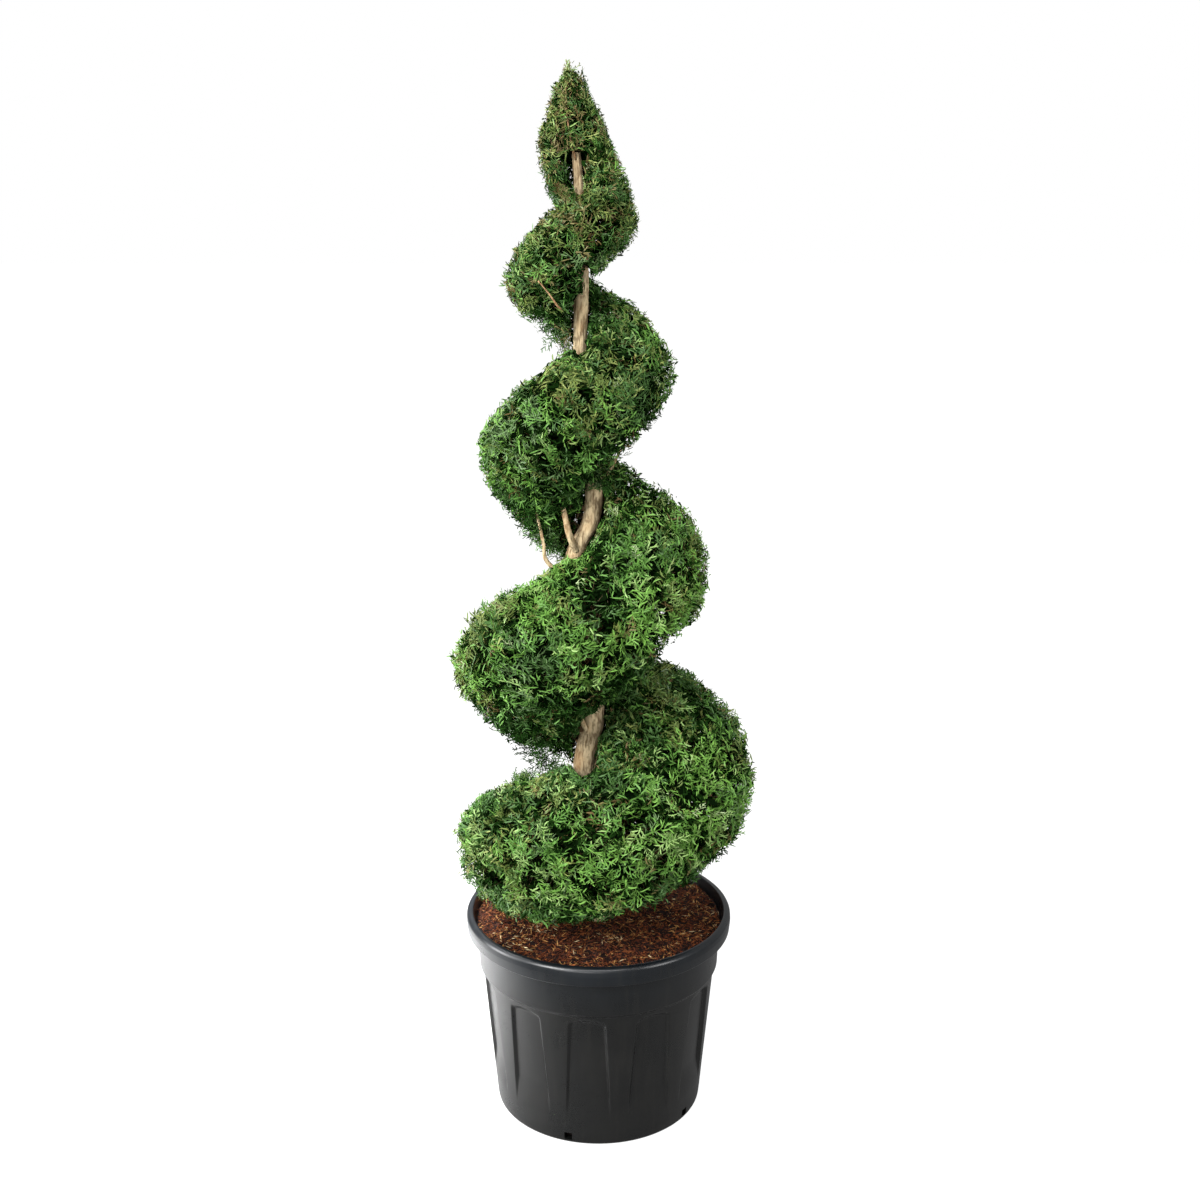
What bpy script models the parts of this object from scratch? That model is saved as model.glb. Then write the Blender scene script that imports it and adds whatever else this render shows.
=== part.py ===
# A clipped spiral conifer in a round nursery pot: pot, soil, trunk, boughs and foliage masses.
# Metres, +Z up. The origin is the centre of the pot's flat underside and -Y is the front.

import math
import random

import bmesh
import bpy
from mathutils import Vector
from mathutils.bvhtree import BVHTree

# Driving sizes
total_height = 1.913
gap = 0.0003

pot_height = 0.3886
pot_wall = 0.0038
foot_radius = 0.1954
foot_round = 0.008
rib_foot_height = 0.078
rib_top_height = 0.276
rib_top_radius = 0.2200
wall_slope = (rib_top_radius - foot_radius) / rib_top_height
collar_foot_height = 0.284
collar_foot_radius = 0.2265
collar_top_height = 0.350
collar_radius = 0.2290
rim_radius = 0.250
rim_round = 0.005
panel_count = 11
panel_turn = math.radians(-5.35)
panel_depth = 0.0055
panel_bevel = math.radians(1.3)
panel_half_top = math.radians(9.3)
panel_half_foot = math.radians(13.0)
panel_top_height = 0.258
panel_arch = 0.007
drain_hole = 0.015
drain_hole_height = 0.015
drain_hole_turn = math.radians(-16.5)
drain_hole_count = 5
drain_cutter_length = 0.030

inner_foot_radius = foot_radius - 0.0125
inner_step_radius = rib_top_radius - panel_depth - 0.0045
soil_side_gap = 0.0012
soil_top = 0.372
trunk_foot = soil_top + gap
trunk_top = 1.765
trunk_sides = 10
flare_height = 0.045
flare_radius = 0.009
flare_lobes = 5
widest_limb = 0.036

# The clipped spiral is measured once every half turn on its way down, at left and right in turn.
# Its first two half turns lie above the widest point of the top tuft, which is half turn 0, at left.
first_half_turn = -2
coil_heights = (1.900, 1.845, 1.764, 1.660, 1.557, 1.405, 1.268, 1.060, 0.872, 0.685, 0.545, 0.45, 0.36)
coil_radii = (0.015, 0.040, 0.065, 0.102, 0.128, 0.163, 0.192, 0.220, 0.254, 0.298, 0.268, 0.22, 0.16)
coil_start = -0.30
coil_end = 8.60
coil_round_from = 7.80
mass_count = 13
section_power = 1.9
cone_lean = -0.042
cone_width = 0.262
cone_power = 0.70
foot_from = 6.6
foot_full = 7.3
hanging_middle = 6.3
hanging_width = 0.35
tuft_floor = trunk_top + 0.001
tuft_core_share = 0.74

limb_room = 0.004
core_depth_share = 0.118
core_depth_least = 0.004
blade_share = 0.280
blade_least = 0.015
spacing_share = 0.300
spacing_least = 0.025
fill_limit = 1.10
end_gap = 0.0015
blade_tries = 18
sunk_share = 0.32
twig_share = 0.14
first_seed = 300

# The trunk's line at rest: height, sideways lean and radius where the line or the taper changes.
trunk_line = (
    (trunk_foot, -0.008, 0.0270),
    (0.440, -0.012, 0.0250),
    (0.560, -0.022, 0.0225),
    (0.670, -0.026, 0.0205),
    (0.717, -0.020, 0.0198),
    (0.760, -0.009, 0.0192),
    (0.880, -0.014, 0.0180),
    (1.000, -0.032, 0.0172),
    (1.075, -0.041, 0.0165),
    (1.135, -0.014, 0.0155),
    (1.200, -0.008, 0.0148),
    (1.330, -0.022, 0.0135),
    (1.440, -0.031, 0.0122),
    (1.560, -0.028, 0.0112),
    (1.690, -0.031, 0.0092),
    (trunk_top, -0.037, 0.0070),
)

# Each bough runs through a few points from the trunk to where it enters its mass.
bough_lines = {
    "bough_upper_left": {
        "route": ((-0.040, -0.012, 1.085), (-0.052, -0.030, 1.120), (-0.060, -0.042, 1.158)),
        "radius": 0.0070,
        "tip_radius": 0.0045,
    },
    "bough_lower_left": {
        "route": (
            (-0.050, -0.004, 1.030),
            (-0.075, -0.014, 1.048),
            (-0.094, -0.022, 1.072),
            (-0.097, -0.026, 1.100),
            (-0.106, -0.030, 1.142),
        ),
        "radius": 0.0048,
        "tip_radius": 0.0030,
    },
    "bough_right": {
        "route": ((0.006, 0.004, 1.205), (0.022, 0.010, 1.228), (0.040, 0.014, 1.262)),
        "radius": 0.0042,
        "tip_radius": 0.0028,
    },
    "bough_foot": {
        "route": ((-0.019, -0.020, 0.716), (-0.026, -0.040, 0.736), (-0.030, -0.047, 0.766)),
        "radius": 0.0075,
        "tip_radius": 0.0052,
    },
}


def smooth_step(low, high, value):
    share = min(max((value - low) / (high - low), 0.0), 1.0)
    return share * share * (3 - 2 * share)


def along(values, place):
    # A smooth curve through evenly spaced values, with the slope at each taken from its neighbours.
    last = len(values) - 1
    place = min(max(place, 0.0), float(last))
    i = min(int(place), last - 1)
    u = place - i
    before, start, end, after = (values[min(max(k, 0), last)] for k in range(i - 1, i + 3))
    slope_in = (end - before) / (2 if i > 0 else 1)
    slope_out = (after - start) / (2 if i < last - 1 else 1)
    return (
        (2 * u**3 - 3 * u**2 + 1) * start
        + (u**3 - 2 * u**2 + u) * slope_in
        + (3 * u**2 - 2 * u**3) * end
        + (u**3 - u**2) * slope_out
    )


def coil_height(turn):
    return along(coil_heights, turn - first_half_turn)


def coil_radius(turn):
    return along(coil_radii, turn - first_half_turn)


def coil_angle(turn):
    return math.pi * (1 - turn)


def axis_x(z):
    return cone_lean * (z - trunk_foot) / (total_height - trunk_foot)


def cone_radius(z):
    return cone_width * max(total_height - z, 0.0) ** cone_power


def pitch(turn):
    return max(coil_height(turn - 1) - coil_height(turn + 1), 0.16)


def coil_end_scale(turn):
    # The foot of the coil ends in a round lobe.
    share = min(max(turn - coil_round_from, 0.0) / (coil_end + 0.05 - coil_round_from), 1.0)
    return math.sqrt(1 - share**2)


def rise(turn):
    # How far the coil reaches above its middle. The top tuft's right side is filled up to the tuft.
    share = 0.42 + 0.40 * smooth_step(1.65, 1.0, turn) + 0.12 * smooth_step(7.3, 8.0, turn)
    return share * pitch(turn) * coil_end_scale(turn)


def drop(turn):
    # How far the coil hangs below its middle: more at left, round the foot and in one loose stretch.
    share = 0.455 - 0.065 * math.cos(coil_angle(turn)) + 0.17 * smooth_step(foot_from, foot_full, turn)
    share += 0.10 * smooth_step(hanging_width, 0.0, abs(turn - hanging_middle))
    return share * pitch(turn) * coil_end_scale(turn)


def trunk_at(z):
    # The trunk's lean and radius at a height, on a smooth curve through its line.
    heights = [point[0] for point in trunk_line]
    last = len(heights) - 2
    i = max(k for k in range(last + 1) if k == 0 or heights[k] <= z)
    span = heights[i + 1] - heights[i]
    u = min(max((z - heights[i]) / span, 0.0), 1.0)
    found = []
    for column in (1, 2):
        values = [point[column] for point in trunk_line]

        def slope(k):
            low = max(k - 1, 0)
            high = min(k + 1, len(values) - 1)
            return (values[high] - values[low]) / (heights[high] - heights[low])

        found.append(
            (2 * u**3 - 3 * u**2 + 1) * values[i]
            + (u**3 - 2 * u**2 + u) * span * slope(i)
            + (3 * u**2 - 2 * u**3) * values[i + 1]
            + (u**3 - u**2) * span * slope(i + 1)
        )
    return found


def trunk_radius(z, angle):
    # The root flare spreads in lobes over the lowest stretch.
    radius = trunk_at(z)[1]
    spread = max(1 - (z - trunk_foot) / flare_height, 0.0) ** 2
    lobes = 0.7 + 0.3 * math.cos(flare_lobes * angle + 0.6)
    return radius + flare_radius * spread * lobes


def clearance(tree, point):
    # The distance from a limb's surface, less than nothing inside it, where no point is far from it.
    spot, normal, _, distance = tree.find_nearest(point)
    outside = distance > widest_limb or (point - spot).dot(normal) > 0
    return distance if outside else -distance


def remove_everything():
    for obj in list(bpy.data.objects):
        bpy.data.objects.remove(obj, do_unlink=True)


def make_material(name, colour, roughness):
    material = bpy.data.materials.new(name)
    material.use_nodes = True
    shader = material.node_tree.nodes["Principled BSDF"]
    shader.inputs["Base Color"].default_value = (*colour, 1.0)
    shader.inputs["Roughness"].default_value = roughness
    return material


def new_object(name, verts, faces, collection=None):
    mesh = bpy.data.meshes.new(name)
    mesh.from_pydata([tuple(v) for v in verts], [], faces)
    mesh.update()
    obj = bpy.data.objects.new(name, mesh)
    (collection or bpy.context.scene.collection).objects.link(obj)
    return obj


def skin_rings(rings):
    # Joins rings of equally many points, each anticlockwise seen from the end, and caps both ends.
    count = len(rings[0])
    verts = [point for ring in rings for point in ring]
    faces = [tuple(reversed(range(count)))]
    for r in range(len(rings) - 1):
        for k in range(count):
            n = (k + 1) % count
            low = r * count
            faces.append((low + k, low + n, low + count + n, low + count + k))
    faces.append(tuple(range(len(verts) - count, len(verts))))
    return verts, faces


def tube_rings(points, radii, sides, first_tangent=None, turn=0.0):
    rings = []
    for i, point in enumerate(points):
        ahead = points[min(i + 1, len(points) - 1)]
        behind = points[max(i - 1, 0)]
        tangent = (ahead - behind).normalized()
        if i == 0 and first_tangent is not None:
            tangent = first_tangent
        side = tangent.cross(Vector((0.31, 0.17, 0.93))).normalized()
        other = tangent.cross(side)
        ring = []
        for k in range(sides):
            angle = turn + 2 * math.pi * k / sides
            ring.append(point + radii[i] * (math.cos(angle) * side + math.sin(angle) * other))
        rings.append(ring)
    return rings


def smooth_route(route, steps):
    # Points on a smooth curve through the route's own points.
    found = []
    for k in range(steps + 1):
        place = k / steps * (len(route) - 1)
        found.append(Vector([along([p[axis] for p in route], place) for axis in range(3)]))
    return found


def bough_route(line):
    return smooth_route(line["route"], 2 * (len(line["route"]) - 1))


# Pot


def panel_angles(half_panel):
    # Six angles across one panel and the rib to its right, measured from the panel's middle.
    half_period = math.pi / panel_count
    inner = half_panel - panel_bevel
    return [-half_panel, -inner, 0.0, inner, half_panel, half_period]


def pot_ring(radius, z, half_panel, sunk=0.0, arch=0.0):
    ring = []
    for p in range(panel_count):
        middle = panel_turn + 2 * math.pi * p / panel_count - math.pi / 2
        for k, offset in enumerate(panel_angles(half_panel)):
            inside = 1 <= k <= 3
            r = radius - (sunk if inside else 0.0)
            lift = arch * (1 - (offset / half_panel) ** 2) if inside else 0.0
            angle = middle + offset
            ring.append(Vector((r * math.cos(angle), r * math.sin(angle), z + lift)))
    return ring


def wall_radius(z):
    return foot_radius + wall_slope * z


def build_pot():
    top = pot_height
    collar_top = collar_top_height
    rib_foot = rib_foot_height
    rings = [
        pot_ring(foot_radius - foot_round, 0.0, panel_half_foot),
        pot_ring(foot_radius, foot_round, panel_half_foot),
        pot_ring(wall_radius(rib_foot * 0.7), rib_foot * 0.7, panel_half_foot),
        pot_ring(wall_radius(rib_foot), rib_foot, panel_half_foot, panel_depth * 0.7),
        pot_ring(wall_radius(panel_top_height), panel_top_height, panel_half_top, panel_depth, panel_arch),
        pot_ring(rib_top_radius, rib_top_height, panel_half_top),
        pot_ring(collar_foot_radius, collar_foot_height, panel_half_top),
        pot_ring(collar_radius, collar_top, panel_half_top),
        pot_ring(rim_radius, collar_top + rim_round, panel_half_top),
        pot_ring(rim_radius, top - rim_round, panel_half_top),
        pot_ring(rim_radius - rim_round, top, panel_half_top),
        pot_ring(rim_radius - 2.6 * rim_round, top - 2 * rim_round, panel_half_top),
        pot_ring(collar_radius - pot_wall, collar_top - 2 * pot_wall, panel_half_top),
        pot_ring(inner_step_radius, rib_top_height, panel_half_top),
        pot_ring(inner_foot_radius, pot_wall, panel_half_foot),
    ]
    pot = new_object("pot", *skin_rings(rings))
    for k in range(drain_hole_count):
        angle = drain_hole_turn + 2 * math.pi * k / drain_hole_count - math.pi / 2
        bpy.ops.mesh.primitive_cube_add(size=1.0)
        cutter = bpy.context.object
        cutter.name = f"drain_cutter_{k + 1}"
        cutter.scale = (drain_cutter_length, drain_hole, drain_hole)
        middle = foot_radius - pot_wall
        cutter.location = (middle * math.cos(angle), middle * math.sin(angle), drain_hole_height)
        cutter.rotation_euler = (0.0, 0.0, angle)
        cutter.hide_render = True
        cutter.display_type = "WIRE"
        cut = pot.modifiers.new(f"drain_{k + 1}", "BOOLEAN")
        cut.operation = "DIFFERENCE"
        cut.object = cutter
    pot.data.materials.append(make_material("pot_plastic", (0.035, 0.039, 0.044), 0.42))


def build_soil():
    # The soil fills the pot, a hair clear of its wall and floor, with a low uneven top.
    sides = 36
    rng = random.Random(21)

    def soil_ring(radius, z, rough=0.0):
        ring = []
        for k in range(sides):
            angle = 2 * math.pi * k / sides
            lift = rough * rng.uniform(-1.0, 1.0)
            ring.append(Vector((radius * math.cos(angle), radius * math.sin(angle), z + lift)))
        return ring

    collar_inside = collar_radius - pot_wall - soil_side_gap
    rings = [
        soil_ring(inner_foot_radius - soil_side_gap, pot_wall + gap),
        soil_ring(inner_step_radius - soil_side_gap, rib_top_height),
        soil_ring(collar_inside, collar_top_height - 2 * pot_wall),
        soil_ring(collar_inside + 0.006, soil_top - 0.007),
        soil_ring(0.74 * collar_radius, soil_top - 0.003, 0.0015),
        soil_ring(0.26 * collar_radius, soil_top),
    ]
    soil = new_object("soil", *skin_rings(rings))
    soil.data.materials.append(make_material("soil_mulch", (0.085, 0.035, 0.016), 0.95))


# Trunk and boughs


def build_trunk(bark):
    heights = [trunk_foot, trunk_foot + 0.012, trunk_foot + 0.028]
    for below, above in zip(trunk_line, trunk_line[1:]):
        low = max(below[0], trunk_foot + flare_height)
        heights += [low, (low + above[0]) / 2]
    heights.append(trunk_top)
    rings = []
    for z in heights:
        lean = trunk_at(z)[0]
        ring = []
        for k in range(trunk_sides):
            angle = 2 * math.pi * k / trunk_sides
            r = trunk_radius(z, angle)
            ring.append(Vector((lean + r * math.cos(angle), r * math.sin(angle), z)))
        rings.append(ring)
    verts, faces = skin_rings(rings)
    trunk = new_object("trunk", verts, faces)
    trunk.data.materials.append(bark)
    return BVHTree.FromPolygons(verts, faces)


def clear_of_trunk(points, radii, sides, trunk):
    # Starts a limb so that its flat end meets the trunk with only the gap between them.
    outward = (points[1] - points[0]).normalized()
    level = Vector((outward.x, outward.y, 0.0)).normalized()
    start = points[0].copy()
    for _ in range(20):
        ring = tube_rings([start, points[1]], radii[:2], sides, level)[0]
        spots = [start.lerp(point, share / 4) for point in ring for share in range(5)]
        spots += [point.lerp(after, 0.5) for point, after in zip(ring, ring[1:] + ring[:1])]
        start += level * (gap * 1.3 - min(clearance(trunk, spot) for spot in spots)) * 0.8
    return tube_rings([start] + points[1:], radii, sides, level)


def build_bough(name, bark, trunk):
    line = bough_lines[name]
    route = bough_route(line)
    last = len(route) - 1
    radii = [line["radius"] + (line["tip_radius"] - line["radius"]) * k / last for k in range(last + 1)]
    verts, faces = skin_rings(clear_of_trunk(route, radii, 7, trunk))
    bough = new_object(name, verts, faces)
    bough.data.materials.append(bark)
    return BVHTree.FromPolygons(verts, faces)


# Foliage


def place_in_coil(point, near_turn):
    # The half turn at which a point lies, and its distance from the cone's axis.
    dx = point.x - axis_x(point.z)
    turn = 1 - math.atan2(point.y, dx) / math.pi
    turn += 2 * round((near_turn - turn) / 2)
    return turn, math.hypot(dx, point.y)


def squareness(turn, above):
    # The section's power: an ellipse at 2, squarer above that, as on the foot's flat underside.
    return section_power if above else section_power + 0.9 * smooth_step(foot_from, foot_full, turn)


def coil_fill(turn, radius, z):
    # 1 on the coil's clipped surface, less inside it.
    offset = z - coil_height(turn)
    above = offset > 0
    reach = rise(turn) if above else drop(turn)
    full = coil_radius(turn) * coil_end_scale(turn) ** 0.6
    if min(reach, full) < 1e-4:
        return 9.0
    power = squareness(turn, above)
    across = (radius / full) ** power + (abs(offset) / reach) ** power
    return max(across ** (1 / power), radius / max(cone_radius(z), 1e-4))


def coil_point(turn, radius, z):
    angle = coil_angle(turn)
    return Vector((axis_x(z) + radius * math.cos(angle), radius * math.sin(angle), z))


def section_point(turn, slope_angle, depth):
    # A point of the coil's section, sunk by a depth below the clipped surface.
    full = max(coil_radius(turn) * coil_end_scale(turn) ** 0.6 - depth, 0.004)
    reach = (rise(turn) if slope_angle > 0 else drop(turn)) - depth
    power = 2 / squareness(turn, slope_angle > 0)
    radius = full * max(math.cos(slope_angle), 0.0) ** power
    offset = math.copysign(abs(math.sin(slope_angle)) ** power * max(reach, 0.004), slope_angle)
    z = min(coil_height(turn) + offset, tuft_floor - end_gap)
    return min(radius, max(cone_radius(z) - depth, 0.003)), z


def inner_radius(turn, low, high):
    # How close a core may come to the axis and stay clear of the leaning trunk.
    angle = coil_angle(turn)
    reach = 0.0
    samples = 12
    for k in range(samples + 1):
        z = low + (high - low) * k / samples
        lean, radius = trunk_at(z)
        reach = max(reach, radius + (lean - axis_x(z)) * math.cos(angle))
    return reach + 0.004 + 0.035 * coil_radius(turn)


def core_depth(turn):
    return core_depth_least + core_depth_share * coil_radius(turn)


def core_rings(start, end):
    # The core's sections from one end to the other. Each is an outline that starts at the inner foot.
    steps = 5
    slopes = [math.radians(a) for a in (-84, -58, -33, -11, 11, 33, 58, 84)]
    rings = []
    for s in range(steps + 1):
        turn = start + (end - start) * s / steps
        depth = core_depth(turn)
        outline = [section_point(turn, slope, depth) for slope in slopes]
        heights = [z for _, z in outline]
        inner = inner_radius(turn, min(heights), max(heights))
        rings.append([coil_point(turn, max(r, inner), z) for r, z in outline])
    return rings


def blade_mesh(root, out, across, length, width, rng):
    # A flat spray of scales: a toothed outline with a flat back and a low ridge in front.
    normal = out.cross(across).normalized()
    shapes = (
        (0.00, 0.00),
        (0.52, -0.50 * rng.uniform(0.8, 1.0)),
        (0.66, -0.16),
        (1.00, rng.uniform(-0.12, 0.12)),
        (0.70, 0.17),
        (0.60, 0.50 * rng.uniform(0.8, 1.0)),
    )
    verts = [root + out * (length * a) + across * (width * b) for a, b in shapes]
    thickness = max(length * 0.07, 0.0022)
    verts.append(root + out * (length * 0.55) + normal * thickness)
    count = len(shapes)
    faces = [(k, (k + 1) % count, count) for k in range(count)]
    faces += [(2, 1, 0), (3, 2, 0), (4, 3, 0), (5, 4, 0)]
    return verts, faces


def twig_mesh(points, radii, rng):
    return skin_rings(tube_rings(points, radii, 3, turn=rng.uniform(0, 2)))


def outside_space(verts, inside_space, limbs):
    for point in verts:
        if not inside_space(point):
            return True
        if any(clearance(limb, point) < limb_room for limb in limbs):
            return True
    return False


def surface_spots(start, end, rng):
    # Spots spread evenly over the clipped surface between two half turns, in staggered rows.
    spots = []
    row = 0
    turn = start
    while turn < end:
        radius = coil_radius(turn)
        spacing = spacing_least + spacing_share * radius
        reach = rise(turn) + drop(turn)
        around = 2 * radius + 0.8 * reach
        count = max(3, round(around / spacing))
        for k in range(count):
            share = (k + (0.25 if row % 2 else 0.75)) / count
            slope = math.radians(78 - 156 * share + rng.uniform(-4, 4))
            spots.append((turn + rng.uniform(-0.12, 0.12) * spacing / radius, slope))
        turn += spacing / (math.pi * radius) * 1.05
        row += 1
    return spots


def add_blade(parts, placed, base, out, rng, length, width, inside_space, limbs):
    # Tries seeded turns of the blade until one stays in the mass's space and crosses no other blade.
    for attempt in range(blade_tries):
        lean = Vector([rng.uniform(-1, 1) for _ in range(3)]) * (0.62 + 0.02 * attempt)
        way = (out + lean + Vector((0, 0, 0.18))).normalized()
        side = way.cross(Vector([rng.uniform(-1, 1) for _ in range(3)])).normalized()
        reach = length * (1 - 0.025 * attempt)
        verts, faces = blade_mesh(base, way, side, reach, width, rng)
        if outside_space(verts, inside_space, limbs):
            continue
        tree = BVHTree.FromPolygons(verts, faces)
        if any(tree.overlap(other) for other in placed + limbs):
            continue
        parts.append((verts, faces))
        placed.append(tree)
        return way, reach
    return None


def fuse(name, core, parts, material):
    # One union joins the core with its stem, twigs and blades. Sealed hollows and scraps are dropped.
    group = bpy.data.collections.new(name + "_parts")
    bpy.context.scene.collection.children.link(group)
    for k, (verts, faces) in enumerate(parts):
        new_object(f"{name}_part_{k}", verts, faces, group)
    mass = new_object(name, *core)
    join = mass.modifiers.new("join", "BOOLEAN")
    join.operation = "UNION"
    join.operand_type = "COLLECTION"
    join.collection = group
    join.solver = "MANIFOLD"
    bpy.context.view_layer.update()
    graph = bpy.context.evaluated_depsgraph_get()
    joined = bpy.data.meshes.new_from_object(mass.evaluated_get(graph))
    mass.modifiers.clear()
    mass.data = joined
    for obj in list(group.objects):
        bpy.data.objects.remove(obj, do_unlink=True)
    bpy.data.collections.remove(group)
    keep_largest_shell(mass)
    mass.data.materials.clear()
    mass.data.materials.append(material)


def keep_largest_shell(obj):
    shape = bmesh.new()
    shape.from_mesh(obj.data)
    bmesh.ops.triangulate(shape, faces=shape.faces)
    shells = []
    left = set(shape.verts)
    while left:
        stack = [left.pop()]
        shell = set(stack)
        while stack:
            for edge in stack.pop().link_edges:
                for vert in edge.verts:
                    if vert in left:
                        left.discard(vert)
                        shell.add(vert)
                        stack.append(vert)
        shells.append(shell)
    largest = max(shells, key=len)
    scraps = [vert for shell in shells if shell is not largest for vert in shell]
    bmesh.ops.delete(shape, geom=scraps, context="VERTS")
    shape.to_mesh(obj.data)
    shape.free()


def build_coil_mass(number, bough_tips, limbs, material):
    span = (coil_end - coil_start) / mass_count
    start = coil_start + span * number
    end = start + span
    middle = (start + end) / 2
    rng = random.Random(first_seed + number)
    edge = end_gap / (math.pi * coil_radius(middle))

    def inside_space(point):
        turn, radius = place_in_coil(point, middle)
        margin = gap / (math.pi * max(radius, 0.02))
        if not start + margin < turn < end - margin or point.z > tuft_floor - gap:
            return False
        return coil_fill(turn, radius, point.z) < fill_limit

    core = core_rings(start + edge, end - edge)
    parts = []
    heart_height = min(coil_height(middle), tuft_floor - 0.030)
    heart = coil_point(middle, coil_radius(middle) * 0.55, heart_height)
    for tip, ahead, tip_radius in bough_tips[number]:
        turn = min(max(place_in_coil(tip, middle)[0], start + 0.15), end - 0.15)
        inside = coil_point(turn, coil_radius(turn) * 0.55, coil_height(turn))
        points = [tip, tip + ahead * 0.02, inside]
        radii = [tip_radius, tip_radius, tip_radius * 0.6]
        parts.append(skin_rings(tube_rings(points, radii, 5, first_tangent=ahead)))
    if not parts:
        lean, radius = trunk_at(heart.z)
        points = [Vector((lean, 0, heart.z)), heart]
        points[0] += (heart - points[0]).normalized() * radius
        radii = [radius * 0.42, radius * 0.25]
        parts.append(skin_rings(clear_of_trunk(points, radii, 5, limbs[0])))
    placed = []
    for turn, slope in surface_spots(start + 0.05, end - 0.03, rng):
        size = coil_radius(turn)
        length = blade_least + blade_share * size
        width = length * 0.95
        depth = core_depth(turn)
        surface = coil_point(turn, *section_point(turn, slope, 0.0))
        sunk = coil_point(turn, *section_point(turn, slope, depth))
        out = (surface - sunk).normalized()
        stands = rng.random() < twig_share
        root = sunk - out * (length * (0.02 if stands else sunk_share))
        reach = length * rng.uniform(0.88, 1.08)
        found = add_blade(parts, placed, root, out, rng, reach, width, inside_space, limbs)
        if found and stands:
            way, reach = found
            twig_root = sunk - out * 0.6 * depth - Vector((0, 0, 0.2 * depth))
            points = [twig_root, root + way * reach * 0.35]
            twig = twig_mesh(points, [0.0035, 0.0016], rng)
            if outside_space(twig[0], inside_space, limbs):
                parts.pop()
            else:
                parts.append(twig)
    name = f"foliage_{number + 1:02d}"
    fuse(name, skin_rings(core), parts, material)


def build_tuft(material):
    # The top tuft stands on the trunk's tip and reaches the plant's full height.
    rng = random.Random(77)

    def inside_space(point):
        radius = math.hypot(point.x - axis_x(point.z), point.y)
        if not tuft_floor + gap < point.z < total_height:
            return False
        return radius < cone_radius(point.z) * fill_limit

    lean, _ = trunk_at(trunk_top)
    leader = [
        Vector((lean, 0.0, trunk_top + gap)),
        Vector((lean - 0.003, -0.002, trunk_top + 0.012)),
        Vector((-0.051, -0.006, 1.800)),
        Vector((-0.054, -0.008, 1.855)),
        Vector((-0.050, -0.004, 1.885)),
        Vector((-0.044, 0.0, total_height)),
    ]
    leader_radii = (0.0066, 0.0060, 0.0048, 0.0036, 0.0024, 0.0007)
    stem = skin_rings(tube_rings(leader, leader_radii, 5, Vector((0, 0, 1))))
    core_heights = [tuft_floor + above for above in (0.001, 0.030, 0.060, 0.095)]
    core = []
    for z in core_heights:
        ring = []
        for k in range(7):
            angle = 2 * math.pi * k / 7
            radius = cone_radius(z) * tuft_core_share
            ring.append(Vector((axis_x(z) + radius * math.cos(angle), radius * math.sin(angle), z)))
        core.append(ring)
    parts = [stem]
    placed = []
    count = 44
    for k in range(count):
        height = k / (count - 1)
        z = tuft_floor + 0.006 + (total_height - tuft_floor - 0.034) * height**1.2
        angle = k * math.radians(137.5)
        length = 0.038 - 0.014 * height
        spread = Vector((math.cos(angle), math.sin(angle), 0.0))
        base = Vector((axis_x(z), 0.0, z)) + spread * cone_radius(z) * 0.48
        if z > core_heights[-1]:
            base = Vector((leader[-2].x, leader[-2].y, z))
        out = (spread * (1.0 - 0.75 * height) + Vector((0, 0, 0.25 + 0.9 * height))).normalized()
        add_blade(parts, placed, base, out, rng, length, length * 0.62, inside_space, [])
    fuse("foliage_tuft", skin_rings(core), parts, material)


def mass_of(point):
    # The coil mass whose space holds a point, searched along the whole coil.
    span = (coil_end - coil_start) / mass_count
    best = None
    for number in range(mass_count):
        middle = coil_start + span * (number + 0.5)
        turn, radius = place_in_coil(point, middle)
        if abs(turn - middle) <= span / 2:
            fill = coil_fill(turn, radius, point.z)
            if best is None or fill < best[0]:
                best = (fill, number)
    return best[1]


def main():
    remove_everything()
    bark = make_material("bark", (0.36, 0.25, 0.17), 0.88)
    build_pot()
    build_soil()
    trunk = build_trunk(bark)
    limbs = [trunk]
    bough_tips = {number: [] for number in range(mass_count)}
    for name, line in bough_lines.items():
        limbs.append(build_bough(name, bark, trunk))
        route = bough_route(line)
        ahead = (route[-1] - route[-2]).normalized()
        tip = route[-1] + ahead * gap
        bough_tips[mass_of(tip + ahead * 0.02)].append((tip, ahead, line["tip_radius"]))
    for number in range(mass_count):
        share = number / (mass_count - 1)
        green = (0.055 + 0.03 * share, 0.13 + 0.07 * share, 0.035)
        material = make_material(f"foliage_green_{number + 1:02d}", green, 0.7)
        build_coil_mass(number, bough_tips, limbs, material)
    build_tuft(make_material("foliage_green_tuft", (0.07, 0.10, 0.035), 0.7))


main()
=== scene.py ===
# A clipped spiral conifer in a ribbed nursery pot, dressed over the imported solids.
# The pot, mulch and bark are fine surfaces, and the foliage grows out from the limbs to the
# clipped coil as flat scaly sprays. Metres, +Z up, -Y is the front.

import math

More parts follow.
